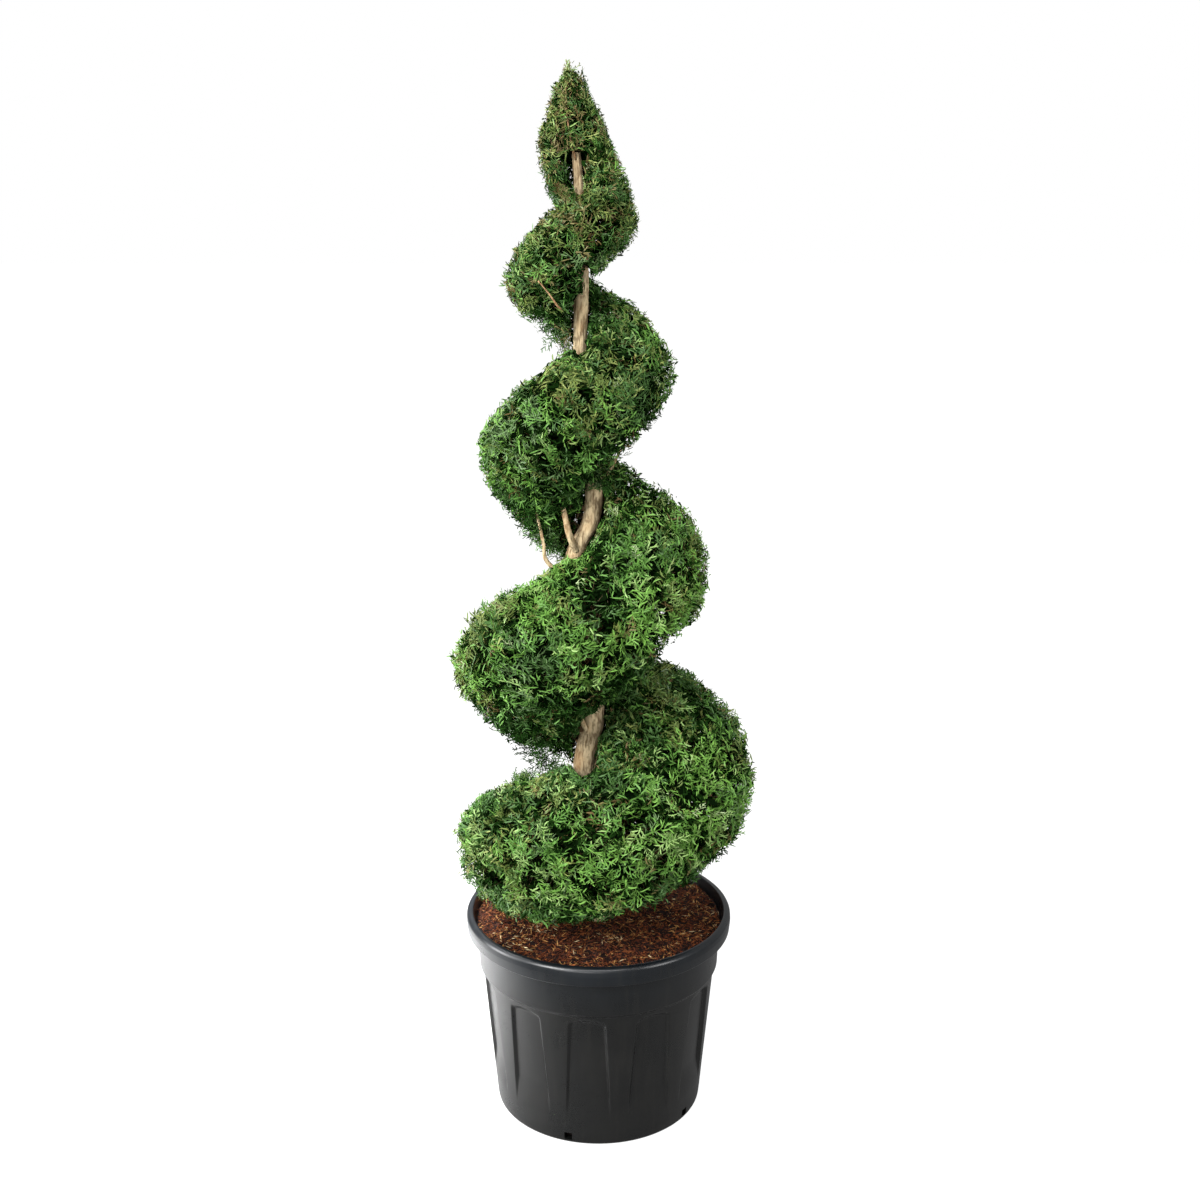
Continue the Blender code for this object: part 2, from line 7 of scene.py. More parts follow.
import bpy
import numpy as np
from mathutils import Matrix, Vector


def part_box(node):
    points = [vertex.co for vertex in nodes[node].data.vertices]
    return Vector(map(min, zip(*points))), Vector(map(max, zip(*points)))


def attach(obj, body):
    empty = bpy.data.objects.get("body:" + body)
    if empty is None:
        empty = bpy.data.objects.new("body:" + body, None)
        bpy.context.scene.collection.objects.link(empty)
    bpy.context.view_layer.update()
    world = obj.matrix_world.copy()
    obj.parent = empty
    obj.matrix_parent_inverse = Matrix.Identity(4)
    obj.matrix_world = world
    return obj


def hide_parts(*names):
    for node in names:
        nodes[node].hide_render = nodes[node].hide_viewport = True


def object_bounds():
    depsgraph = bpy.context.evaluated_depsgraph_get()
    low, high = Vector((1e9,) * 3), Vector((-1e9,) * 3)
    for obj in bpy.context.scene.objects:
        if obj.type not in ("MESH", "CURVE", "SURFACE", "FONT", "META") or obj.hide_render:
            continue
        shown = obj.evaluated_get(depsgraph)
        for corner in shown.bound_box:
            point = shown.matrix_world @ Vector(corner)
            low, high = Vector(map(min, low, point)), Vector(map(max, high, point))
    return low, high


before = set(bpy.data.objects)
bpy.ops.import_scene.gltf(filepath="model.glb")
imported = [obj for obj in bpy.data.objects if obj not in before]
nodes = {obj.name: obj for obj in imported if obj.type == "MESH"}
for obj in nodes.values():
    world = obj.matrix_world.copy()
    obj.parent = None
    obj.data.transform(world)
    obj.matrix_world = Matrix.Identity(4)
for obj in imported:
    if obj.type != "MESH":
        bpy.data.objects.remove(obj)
cadLow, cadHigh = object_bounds()
foliageNodes = sorted(name for name in nodes if name.startswith("foliage_"))
boughNodes = sorted(name for name in nodes if name.startswith("bough_"))
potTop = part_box("pot")[1].z
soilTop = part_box("soil")[1].z
trunkFoot, trunkTop = (corner.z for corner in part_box("trunk"))
plantTop = cadHigh.z
print("frame loaded:", len(nodes), "nodes")


# Shader values and finishes


def colour(red, green, blue):
    # a colour as it is seen, 0 to 255, in linear light
    seen = np.array([red, green, blue]) / 255
    linear = np.where(seen < 0.04045, seen / 12.92, ((seen + 0.055) / 1.055) ** 2.4)
    return tuple(float(part) for part in linear)


class Value:
    # One socket's value. An expression on it adds the Math nodes that work it out.
    def __init__(self, finish, socket):
        self.finish = finish
        self.socket = socket

    def joined(self, operation, first, second):
        return self.finish.node("ShaderNodeMath", {"operation": operation}, {0: first, 1: second})

    def __add__(self, other):
        return self.joined("ADD", self, other)

    def __radd__(self, other):
        return self.joined("ADD", other, self)

    def __sub__(self, other):
        return self.joined("SUBTRACT", self, other)

    def __rsub__(self, other):
        return self.joined("SUBTRACT", other, self)

    def __mul__(self, other):
        return self.joined("MULTIPLY", self, other)

    def __rmul__(self, other):
        return self.joined("MULTIPLY", other, self)


class Finish:
    # A Principled material whose fixed numbers are given by socket name.
    def __init__(self, name, settings):
        self.material = bpy.data.materials.new(name)
        self.material.use_nodes = True
        self.tree = self.material.node_tree
        self.shader = self.tree.nodes["Principled BSDF"]
        for socket, value in settings.items():
            self.feed(self.shader.inputs[socket], value)

    def feed(self, socket, value):
        if isinstance(value, Value):
            self.tree.links.new(value.socket, socket)
        elif isinstance(value, tuple) and len(value) == 3 and socket.type == "RGBA":
            socket.default_value = (*value, 1.0)
        else:
            socket.default_value = value

    def node(self, kind, settings, sockets, output=0):
        made = self.tree.nodes.new(kind)
        for name, value in settings.items():
            if name == "stops":
                ramp = made.color_ramp
                while len(ramp.elements) < len(value):
                    ramp.elements.new(0.5)
                for element, (place, shade) in zip(ramp.elements, value):
                    element.position = place
                    element.color = (*shade, 1.0)
            else:
                setattr(made, name, value)
        for name, value in sockets.items():
            self.feed(made.inputs[name], value)
        return Value(self, made.outputs[output])

    def place(self, stretch=(1.0, 1.0, 1.0)):
        # the point on the piece, in metres, with each axis stretched
        here = self.node("ShaderNodeTexCoord", {}, {}, "Object")
        return self.node("ShaderNodeMapping", {}, {"Vector": here, "Scale": stretch})

    def split(self, place, axis):
        return self.node("ShaderNodeSeparateXYZ", {}, {"Vector": place}, axis)

    def noise(self, place, scale, detail=3.0, roughness=0.55):
        return self.node(
            "ShaderNodeTexNoise",
            {},
            {"Vector": place, "Scale": scale, "Detail": detail, "Roughness": roughness},
            "Fac",
        )

    def ramp(self, factor, stops):
        return self.node("ShaderNodeValToRGB", {"stops": stops}, {"Fac": factor}, "Color")

    def spread(self, factor, low, high, start=0.3, end=0.7):
        # a number that goes from low to high while the factor goes from start to end
        sockets = {"Value": factor, "From Min": start, "From Max": end, "To Min": low, "To Max": high}
        return self.node("ShaderNodeMapRange", {"clamp": True}, sockets)

    def mix(self, factor, first, second):
        # colours blended by a factor
        return self.node(
            "ShaderNodeMix", {"data_type": "RGBA"}, {"Factor": factor, 6: first, 7: second}, 2
        )

    def bump(self, height, strength, distance):
        sockets = {"Height": height, "Strength": strength, "Distance": distance}
        bent = self.node("ShaderNodeBump", {}, sockets, "Normal")
        self.feed(self.shader.inputs["Normal"], bent)

    def paint(self, **sockets):
        for name, value in sockets.items():
            self.feed(self.shader.inputs[name.replace("_", " ")], value)


# Numbers over whole arrays


def ease(share):
    # an S-curve from 0 to 1: s*s*(3-2s)
    return share * share * (3 - 2 * share)


def smoothStep(low, high, value):
    # 0 below low, 1 above high and the S-curve between
    return ease(np.clip((value - low) / (high - low), 0.0, 1.0))


def cubic(u, low, high, leaving, arriving):
    # the cubic from one value to the next with the slopes that it leaves and arrives at
    return (
        (2 * u**3 - 3 * u**2 + 1) * low
        + (u**3 - 2 * u**2 + u) * leaving
        + (3 * u**2 - 2 * u**3) * high
        + (u**3 - u**2) * arriving
    )


def along(values, place):
    # a smooth curve through evenly spaced values: a cubic on each stretch, sloped by the neighbours
    values = np.asarray(values, float)
    slope = np.gradient(values)
    last = len(values) - 1
    place = np.clip(np.asarray(place, float), 0.0, last)
    i = np.minimum(place.astype(int), last - 1)
    return cubic(place - i, values[i], values[i + 1], slope[i], slope[i + 1])


def routeThrough(places, count):
    # a smooth route of evenly stepped points through a few places
    steps = np.linspace(0, len(places) - 1, count)
    return np.stack([along(axis, steps) for axis in zip(*places)], -1)


def latticeNoise(u, v, seed, wrap=64):
    # smooth noise between -1 and 1: random values on a unit lattice, blended; v repeats every wrap
    rows = 64
    table = np.random.default_rng(seed).uniform(-1, 1, (rows, wrap))
    iu = np.floor(u).astype(int)
    iv = np.floor(v).astype(int)
    fu = ease(u - iu)
    fv = ease(v - iv)
    low, high = (
        table[row % rows, iv % wrap] * (1 - fv) + table[row % rows, (iv + 1) % wrap] * fv
        for row in (iu, iu + 1)
    )
    return low * (1 - fu) + high * fu


def unit(vectors):
    # each row divided by its length
    return vectors / np.maximum(np.linalg.norm(vectors, axis=-1, keepdims=True), 1e-9)


def roundUpright(radius, angle, z, aside=0.0):
    # points round an upright axis: (aside + r cos a, r sin a, z)
    corners = np.broadcast_arrays(aside + radius * np.cos(angle), radius * np.sin(angle), z)
    return np.stack(corners, -1)


def gridFaces(rows, columns):
    # four-cornered faces between rings of points, closed round the columns
    row, column = np.meshgrid(np.arange(rows - 1), np.arange(columns), indexing="ij")
    after = (column + 1) % columns
    low = row * columns
    faces = np.stack([low + column, low + after, low + columns + after, low + columns + column], -1)
    return faces.reshape(-1, 4)


def closedFaces(rows, columns, downward=False):
    # the faces of rings of points that two more points close, one for each end; downward is for
    # rings that start at the top
    count = rows * columns
    ring = np.arange(columns)
    after = np.roll(ring, -1)
    before = count - columns
    first = np.stack([np.full(columns, count), after, ring], -1)
    last = np.stack([ring + before, after + before, np.full(columns, count + 1)], -1)
    faces = [gridFaces(rows, columns), first, last]
    return [each[:, ::-1] for each in faces] if downward else faces


def repeatFaces(faces, times, corners):
    # the same faces for every one of many small shapes, each with its own corner points
    return (faces[None] + np.arange(times)[:, None, None] * corners).reshape(-1, faces.shape[1])


def addObject(name, data):
    made = bpy.data.objects.new(name, data)
    bpy.context.scene.collection.objects.link(made)
    return made


def makePiece(name, points, faceSets, finish, slot, replaced, smooth=True):
    # one mesh at the origin from its points and its arrays of triangles or four-cornered faces
    corners = np.concatenate([faces.ravel() for faces in faceSets]).astype(np.int32)
    sizes = np.concatenate([np.full(len(faces), faces.shape[1]) for faces in faceSets])
    starts = np.concatenate([[0], np.cumsum(sizes)[:-1]]).astype(np.int32)
    mesh = bpy.data.meshes.new(name)
    mesh.vertices.add(len(points))
    mesh.vertices.foreach_set("co", np.asarray(points, np.float32).ravel())
    mesh.loops.add(len(corners))
    mesh.loops.foreach_set("vertex_index", corners)
    mesh.polygons.add(len(starts))
    mesh.polygons.foreach_set("loop_start", starts)
    mesh.polygons.foreach_set("use_smooth", np.full(len(starts), smooth))
    mesh.update(calc_edges=True)
    mesh.materials.append(finish.material)
    piece = addObject(name, mesh)
    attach(piece, "root")
    if replaced:
        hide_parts(*replaced)
    return piece


def tube(route, radii, sides, raised=0.0):
    # a profile circle carried along a path: point + r(cos a * side + sin a * up), closed at both ends
    tangent = unit(np.gradient(route, axis=0))
    side = unit(np.cross(tangent, np.array([0.31, 0.17, 0.93])))
    other = np.cross(tangent, side)
    angle = np.arange(sides) * 2 * np.pi / sides
    circle = np.cos(angle)[None, :, None] * side[:, None] + np.sin(angle)[None, :, None] * other[:, None]
    reach = (radii[:, None] + raised) * np.ones(sides)
    rings = route[:, None] + circle * reach[..., None]
    points = np.concatenate([rings.reshape(-1, 3), route[:1], route[-1:]])
    return points, closedFaces(len(route), sides)


def joinParts(parts):
    # many (points, face arrays) made one, with the point numbers shifted
    points = np.concatenate([part[0] for part in parts])
    offsets = np.cumsum([0] + [len(part[0]) for part in parts])[:-1]
    widths = {}
    for (_, faceSets), offset in zip(parts, offsets):
        for faces in faceSets:
            widths.setdefault(faces.shape[1], []).append(faces + offset)
    return points, [np.concatenate(faces) for faces in widths.values()]


# The clipped coil, by the same rule as the solids

coil = {
    "heights": (1.900, 1.845, 1.764, 1.660, 1.557, 1.405, 1.268, 1.060, 0.872, 0.685, 0.545, 0.45, 0.36),
    "radii": (0.015, 0.040, 0.065, 0.102, 0.128, 0.163, 0.192, 0.220, 0.254, 0.298, 0.268, 0.22, 0.16),
    "firstHalfTurn": -2,
    "start": -0.30,
    "end": 8.60,
    "roundFrom": 7.80,
    "lean": -0.042,
    "coneWidth": 0.262,
    "conePower": 0.70,
    "leastPitch": 0.16,
    "endOver": 0.05,
    "endPower": 0.6,
    "squareness": 1.9,
    "footSquareness": 0.9,
    "rise": 0.42,
    "topRise": 0.40,
    "topTurns": (1.65, 1.0),
    "endRise": 0.12,
    "endTurns": (7.3, 8.0),
    "drop": 0.455,
    "frontDrop": 0.065,
    "footDrop": 0.17,
    "footTurns": (6.6, 7.3),
    "hangingDrop": 0.10,
    "hangingMiddle": 6.3,
    "hangingWidth": 0.35,
    "leastReach": 0.004,
    "leastRadius": 0.003,
}


def coilHeight(turn):
    return along(coil["heights"], turn - coil["firstHalfTurn"])


def coilRadius(turn):
    return along(coil["radii"], turn - coil["firstHalfTurn"])


def axisX(z):
    # the cone's axis leans evenly to the left with height
    return coil["lean"] * (z - trunkFoot) / (plantTop - trunkFoot)


def coneRadius(z):
    # the clipped cone: width * (height left) ^ power
    return coil["coneWidth"] * np.maximum(plantTop - z, 0.0) ** coil["conePower"]


def turnAngle(turn):
    # a half turn for each whole number, right-handed going down
    return np.pi * (1 - turn)


def endScale(turn):
    # a round end to the foot of the coil: sqrt(1 - share^2)
    share = (turn - coil["roundFrom"]) / (coil["end"] + coil["endOver"] - coil["roundFrom"])
    return np.sqrt(1 - np.clip(share, 0.0, 1.0) ** 2)


def coilReach(turn, above):
    # how far the section goes above or below its middle: a share of the height from turn to turn
    pitch = np.maximum(coilHeight(turn - 1) - coilHeight(turn + 1), coil["leastPitch"])
    rise = coil["rise"] + coil["topRise"] * smoothStep(*coil["topTurns"], turn)
    rise = rise + coil["endRise"] * smoothStep(*coil["endTurns"], turn)
    hanging = smoothStep(coil["hangingWidth"], 0.0, np.abs(turn - coil["hangingMiddle"]))
    drop = coil["drop"] - coil["frontDrop"] * np.cos(turnAngle(turn))
    drop = drop + coil["footDrop"] * smoothStep(*coil["footTurns"], turn) + coil["hangingDrop"] * hanging
    return np.where(above, rise, drop) * pitch * endScale(turn)


def coilSection(turn, above, depth=0.0):
    # the section's full radius, its reach above or below and its power, at a depth under the surface
    power = coil["squareness"] + coil["footSquareness"] * smoothStep(*coil["footTurns"], turn) * ~above
    full = np.maximum(coilRadius(turn) * endScale(turn) ** coil["endPower"] - depth, coil["leastReach"])
    return full, np.maximum(coilReach(turn, above) - depth, coil["leastReach"]), power


def coilSurface(turn, slope, depth):
    # half a squarish ellipse swept down a helix: radius * cos^p, height +- reach * sin^p, sunk by a depth
    full, reach, squareness = coilSection(turn, slope > 0, depth)
    power = 2 / squareness
    z = coilHeight(turn) + np.sign(slope) * np.abs(np.sin(slope)) ** power * reach
    radius = full * np.maximum(np.cos(slope), 0.0) ** power
    radius = np.minimum(radius, np.maximum(coneRadius(z) - depth, coil["leastRadius"]))
    return roundUpright(radius, turnAngle(turn), z, axisX(z))


# Camera, light and floor

view = {
    "cameraPlace": (0.0028, -2.7, 1.7245),
    "lookDown": 15.217,
    "focalPixels": 1554.7,
    "framePixels": 1200,
    "floorSize": 60.0,
    "floorColour": colour(104, 104, 104),
    "floorSeen": 0.96,
    "floorLight": 0.10,
    "skySeen": 1.0,
    "skyLight": 0.44,
}
softBoxes = {
    # place, aim, width, height, watts, spread in degrees
    "keyLeft": ((-2.8, -3.2, 3.1), (0.0, 0.0, 0.7), 1.8, 2.2, 320.0, 180),
    "sideLeft": ((-3.2, -0.2, 0.9), (0.0, 0.0, 0.5), 1.2, 2.4, 140.0, 180),
    "frontTop": ((0.2, -3.6, 4.6), (0.0, 0.0, 0.4), 2.8, 0.5, 90.0, 180),
    "fillRight": ((3.0, -2.2, 2.2), (0.0, 0.0, 0.6), 1.4, 2.0, 68.0, 180),
    "topBack": ((-0.8, 2.4, 4.4), (0.0, 0.0, 0.6), 2.2, 1.2, 120.0, 180),
    "floorLeft": ((-0.85, 0.28, 1.1), (-0.85, 0.28, 0.0), 0.8, 0.8, 80.0, 72),
    "lowFront": ((-0.8, -3.2, 0.9), (0.0, 0.0, 0.45), 2.0, 0.8, 26.0, 180),
}


def buildStage():
    scene = bpy.context.scene
    lens = bpy.data.cameras.new("camera")
    lens.sensor_width = 36.0
    lens.lens = lens.sensor_width * view["focalPixels"] / view["framePixels"]
    camera = addObject("camera", lens)
    camera.location = view["cameraPlace"]
    camera.rotation_euler = (math.radians(90 - view["lookDown"]), 0.0, 0.0)
    scene.camera = camera
    scene.view_settings.view_transform = "Standard"
    world = bpy.data.worlds.new("paleSky")
    world.use_nodes = True
    shaderNodes, links = world.node_tree.nodes, world.node_tree.links
    background = shaderNodes["Background"]
    background.inputs["Color"].default_value = (1.0, 1.0, 1.0, 1.0)
    path = shaderNodes.new("ShaderNodeLightPath")
    strength = shaderNodes.new("ShaderNodeMapRange")
    strength.inputs["To Min"].default_value = view["skyLight"]
    strength.inputs["To Max"].default_value = view["skySeen"]
    links.new(path.outputs["Is Camera Ray"], strength.inputs["Value"])
    links.new(strength.outputs["Result"], background.inputs["Strength"])
    scene.world = world
    half = view["floorSize"] / 2
    corners = np.array([[-half, -half, 0], [half, -half, 0], [half, half, 0], [-half, half, 0]], float)
    mesh = bpy.data.meshes.new("floor")
    mesh.from_pydata(corners, [], [(0, 1, 2, 3)])
    floorLook = {
        "Base Color": view["floorColour"],
        "Roughness": 0.9,
        "Specular IOR Level": 0.0,
        "Emission Strength": 1.0,
    }
    floorFinish = Finish("paleFloor", floorLook)
    seen = floorFinish.node("ShaderNodeLightPath", {}, {}, "Is Camera Ray")
    dim = (view["floorLight"],) * 3
    bright = (view["floorSeen"],) * 3
    floorFinish.paint(Emission_Color=floorFinish.mix(seen, dim, bright))
    mesh.materials.append(floorFinish.material)
    addObject("floor", mesh)
    for name, (place, aim, width, height, watts, spread) in softBoxes.items():
        lamp = bpy.data.lights.new(name, "AREA")
        lamp.shape = "RECTANGLE"
        lamp.size = width
        lamp.size_y = height
        lamp.energy = watts
        lamp.spread = math.radians(spread)
        box = addObject(name, lamp)
        back = np.array(place) - np.array(aim)
        turn = math.atan2(back[0], -back[1])
        tilt = math.atan2(math.hypot(back[0], back[1]), back[2])
        box.location = place
        box.rotation_euler = (tilt, 0.0, turn)
        box.visible_camera = False
    print("stage ready")


# Pot

pot = {
    "footRadius": 0.1954,
    "footRound": 0.008,
    "ribTopRadius": 0.2200,
    "ribTopHeight": 0.276,
    "collarFootRadius": 0.2265,
    "collarFootHeight": 0.284,
    "collarRadius": 0.2290,
    "collarTopHeight": 0.350,
    "rimRadius": 0.2500,
    "rimRound": 0.0088,
    "wall": 0.0038,
    "panels": 11,
    "panelTurn": math.radians(-5.35),
    "panelDepth": 0.0062,
    "panelEdgeTop": math.radians(1.7),
    "panelEdgeFoot": math.radians(1.1),
    "panelHalfTop": math.radians(9.3),
    "panelHalfFoot": math.radians(13.0),
    "panelTopHeight": 0.258,
    "panelArch": 0.009,
    "ribFootHeight": 0.072,
    "drainHoles": 5,
    "drainHoleTurn": math.radians(-16.5),
    "drainHoleSize": 0.015,
    "drainHoleHeight": 0.015,
    "panelFade": (-0.022, 0.045),
    "panelEdgeHeight": 0.005,
    "stretchSteps": (5, 6, 12, 6, 5),
    "profileRows": 84,
    "edgeRound": 0.004,
    "rimEdgeRound": 0.006,
    "rimUnder": (0.002, 0.003),
    "rimSide": 0.016,
    "rimTopWidth": 0.0125,
    "rimInside": (0.015, 0.014),
    "innerInset": 0.010,
    "innerFootInset": 0.0125,
    "sharpFrom": math.radians(38),
    "wallShades": (colour(8, 9, 9), colour(17, 17, 16)),
    "lipShades": (colour(6, 10, 14), colour(14, 19, 24)),
    "dustShade": colour(34, 33, 30),
}


def roundedCorners(corners, steps=6):
    # a profile through (radius, height, rounding): each corner becomes an arc of that radius
    found = []
    for k, (r, z, rounding) in enumerate(corners):
        here = np.array([r, z])
        if rounding == 0:
            found.append(here)
            continue
        before = np.array(corners[k - 1][:2]) - here
        after = np.array(corners[k + 1][:2]) - here
        before = before / np.linalg.norm(before)
        after = after / np.linalg.norm(after)
        half = math.acos(np.clip(before @ after, -1, 1)) / 2
        cut = rounding / math.tan(half)
        middle = (before + after) / np.linalg.norm(before + after) * rounding / math.sin(half)
        for share in np.linspace(0, 1, steps):
            way = (before * cut - middle) * (1 - share) + (after * cut - middle) * share
            found.append(here + middle + way / np.linalg.norm(way) * rounding)
    return np.array(found)


def potProfile():
    # the pot's wall as a closed outline of (radius, height, rounding), from the middle of its underside
    # round to the middle inside
    wall = pot["wall"]
    edge = pot["edgeRound"]
    rim, rimEdge = pot["rimRadius"], pot["rimEdgeRound"]
    under, inside = pot["rimUnder"], pot["rimInside"]
    slope = (pot["ribTopRadius"] - pot["footRadius"]) / pot["ribTopHeight"]
    corners = [(0.0, 0.0, 0), (pot["footRadius"] - 0.0005, 0.0, pot["footRound"])]
    for z in np.linspace(0.02, pot["ribTopHeight"] - 0.006, pot["profileRows"]):
        corners.append((pot["footRadius"] + slope * z, z, 0))
    corners += [
        (pot["ribTopRadius"], pot["ribTopHeight"], edge),
        (pot["collarFootRadius"], pot["collarFootHeight"], edge),
        (pot["collarRadius"], pot["collarTopHeight"], edge),
        (rim - under[0], pot["collarTopHeight"] + under[1], edge),
        (rim, potTop - pot["rimSide"], rimEdge),
        (rim - 0.001, potTop, pot["rimRound"]),
        (rim - pot["rimTopWidth"], potTop, 0.002),
        (rim - inside[0], potTop - inside[1], rimEdge),
        (pot["collarRadius"] - wall, pot["collarTopHeight"] - 2 * wall, edge),
        (pot["ribTopRadius"] - pot["innerInset"], pot["ribTopHeight"], edge),
        (pot["footRadius"] - pot["innerFootInset"], wall, edge),
        (0.0, wall, 0),
    ]
    return roundedCorners(corners)


def panelSides(z):
    # half a panel's width and the width of its slanting side at each height, as angles
    share = np.clip(z / pot["panelTopHeight"], 0, 1)
    half = pot["panelHalfFoot"] + (pot["panelHalfTop"] - pot["panelHalfFoot"]) * share
    edge = pot["panelEdgeFoot"] + (pot["panelEdgeTop"] - pot["panelEdgeFoot"]) * share
    return half, edge


def panelSink(angle, z, outside):
    # a panel's depth: full between its sides, under its arched top, fading out towards the foot
    period = 2 * math.pi / pot["panels"]
    offset = (angle + math.pi / 2 - pot["panelTurn"] + period / 2) % period - period / 2
    half, edge = panelSides(z)
    across = smoothStep(half, half - edge, np.abs(offset))
    archTop = pot["panelTopHeight"] + pot["panelArch"] * (1 - (offset / half) ** 2)
    under = smoothStep(archTop + pot["panelEdgeHeight"], archTop - pot["panelEdgeHeight"], z)
    over = smoothStep(*(pot["ribFootHeight"] + part for part in pot["panelFade"]), z)
    return pot["panelDepth"] * across * under * over * outside


def potAngles(z):
    # columns round the wall at each height, close together along the panels' slanting sides
    period = 2 * math.pi / pot["panels"]
    half, edge = panelSides(z)
    outer = half + edge * 0.15
    inner = half - edge * 1.15
    border = np.full_like(half, period / 2)
    bounds = (-border, -outer, -inner, inner, outer, border)
    columns = [
        low + (high - low) * np.arange(steps) / steps
        for low, high, steps in zip(bounds, bounds[1:], pot["stretchSteps"])
    ]
    one = np.concatenate(columns, axis=-1)
    middles = pot["panelTurn"] - math.pi / 2 + period * np.arange(pot["panels"])
    return (middles[:, None] + one[:, None]).reshape(len(z), -1)


def potFinish():
    finish = Finish("pottedPlasticSatin", {"Specular IOR Level": 0.5})
    here = finish.place()
    cloud = finish.noise(here, 9.0, 4.0)
    grain = finish.noise(here, 620.0, 2.0)
    streak = finish.noise(finish.place((1.0, 1.0, 0.06)), 90.0, 3.0)
    cloudy = finish.spread(cloud, 0.0, 1.0)
    wall = finish.mix(cloudy, *pot["wallShades"])
    lip = finish.mix(cloudy, *pot["lipShades"])
    base = finish.mix(finish.spread(finish.split(here, "Z"), 0.0, 1.0, 0.27, 0.37), wall, lip)
    dusty = finish.mix(finish.spread(streak, 0.0, 0.25, 0.48, 0.75), base, pot["dustShade"])
    finish.paint(Base_Color=dusty, Roughness=finish.spread(cloud * 0.6 + grain * 0.4, 0.24, 0.38))
    finish.bump(grain, 0.10, 0.0006)
    return finish


def buildPot():
    profile = potProfile()
    radius, z = profile[1:-1, :1], profile[1:-1, 1:]
    angle = potAngles(z)
    outward = np.arange(len(z))[:, None] < np.argmax(radius)
    outside = outward & (z > pot["footRound"] * 1.5) & (radius < pot["ribTopRadius"])
    rings = roundUpright(radius - panelSink(angle, z, outside), angle, z)
    middles = [[0, 0, profile[0, 1]], [0, 0, profile[-1, 1]]]
    points = np.concatenate([rings.reshape(-1, 3), middles])
    shell = makePiece("potShell", points, closedFaces(*angle.shape), potFinish(), "pot_plastic", ["pot"])
    cutDrainHoles(shell)
    shell.data.set_sharp_from_angle(angle=pot["sharpFrom"])
    print("pot made:", len(shell.data.polygons), "faces")


def cutDrainHoles(shell):
    size = pot["drainHoleSize"]
    cutters = []
    for k in range(pot["drainHoles"]):
        angle = pot["drainHoleTurn"] + 2 * math.pi * k / pot["drainHoles"] - math.pi / 2
        bpy.ops.mesh.primitive_cube_add(size=1.0)
        cutter = bpy.context.object
        cutter.scale = (2 * size, size, size)
        middle = pot["footRadius"] - pot["wall"]
        cutter.location = (middle * math.cos(angle), middle * math.sin(angle), pot["drainHoleHeight"])
        cutter.rotation_euler = (0.0, 0.0, angle)
        cut = shell.modifiers.new("drain", "BOOLEAN")
        cut.operation = "DIFFERENCE"
        cut.object = cutter
        cut.solver = "MANIFOLD"
        cutters.append(cutter)
    bpy.context.view_layer.update()
    graph = bpy.context.evaluated_depsgraph_get()
    cutMesh = bpy.data.meshes.new_from_object(shell.evaluated_get(graph))
    shell.modifiers.clear()
    shell.data = cutMesh
    for cutter in cutters:
        bpy.data.objects.remove(cutter, do_unlink=True)


# Mulch

mulch = {
    "edgeRadius": 0.2315,
    "edgeDrop": 0.007,
    "middle": 0.030,
    "rough": 0.0034,
    "around": 240,
    "rows": 72,
    "chips": 17000,
    "chipLength": (0.007, 0.019),
    "chipWidth": (0.0009, 0.0028),
    "lift": 0.0062,
    "tilt": 0.30,
    "thick": 0.3,
    "underneath": ((0.2235, 0.342), (0.2080, 0.276), (0.1815, 0.006)),
    # layers of noise: scale, shift, seed and weight
    "bumps": ((60, 20, 5, 1.0), (150, 9, 6, 0.6), (330, 3, 7, 0.4)),
    "drift": ((26, 30, 8, 0.5), (70, 30, 9, 0.5)),
    "driftShare": 0.22,
    "raisedShare": 0.20,
    "wobble": 0.35,
    "bedShade": colour(28, 11, 6),
    "seed": 41,
}
chipColours = {
    # colour and share of the chips
    "mulchDark": (colour(32, 13, 7), 0.34),
    "mulchRed": (colour(100, 47, 22), 0.35),
    "mulchBrown": (colour(138, 78, 37), 0.22),
    "mulchTan": (colour(186, 138, 80), 0.075),
    "mulchPale": (colour(222, 198, 154), 0.015),
}


def layers(x, y, kind):
    # smooth noise of several sizes over the ground, added up
    return sum(
        weight * latticeNoise(x * scale + shift, y * scale + shift, seed)
        for scale, shift, seed, weight in mulch[kind]
    )


def mulchTop(x, y):
    # a low dome with a hollow at the rim, under three sizes of bumps
    share = np.hypot(x, y) / mulch["edgeRadius"]
    dome = soilTop - mulch["edgeDrop"] * smoothStep(0.55, 1.0, share)
    return dome + mulch["rough"] * layers(x, y, "bumps")


def mulchFinish(name, shade):
    finish = Finish(name, {"Specular IOR Level": 0.25})
    here = finish.place()
    patch = finish.noise(here, 240.0, 3.0)
    darker = tuple(0.45 * part for part in shade)
    finish.paint(Base_Color=finish.mix(finish.spread(patch, 0.0, 1.0), darker, shade))
    finish.paint(Roughness=finish.spread(patch, 0.78, 0.95))
    return finish


def buildMulchBed():
    # rings from the middle of the top out to the wall, then down and back in underneath
    angle = np.arange(mulch["around"]) * 2 * np.pi / mulch["around"]
    radius = np.linspace(0.004, mulch["edgeRadius"], mulch["rows"])[:, None]
    top = roundUpright(radius, angle, 0.0)
    top[..., 2] = mulchTop(top[..., 0], top[..., 1])
    lowerRadius, lowerHeight = np.array(mulch["underneath"]).T[..., None]
    rings = np.concatenate([top, roundUpright(lowerRadius, angle, lowerHeight)])
    points = np.concatenate([rings.reshape(-1, 3), [[0, 0, soilTop], [0, 0, lowerHeight[-1, 0]]]])
    faces = closedFaces(*rings.shape[:2], downward=True)
    brown = mulchFinish("mulchBedBrown", mulch["bedShade"])
    makePiece("mulchBed", points, faces, brown, "soil_mulch", ["soil"])


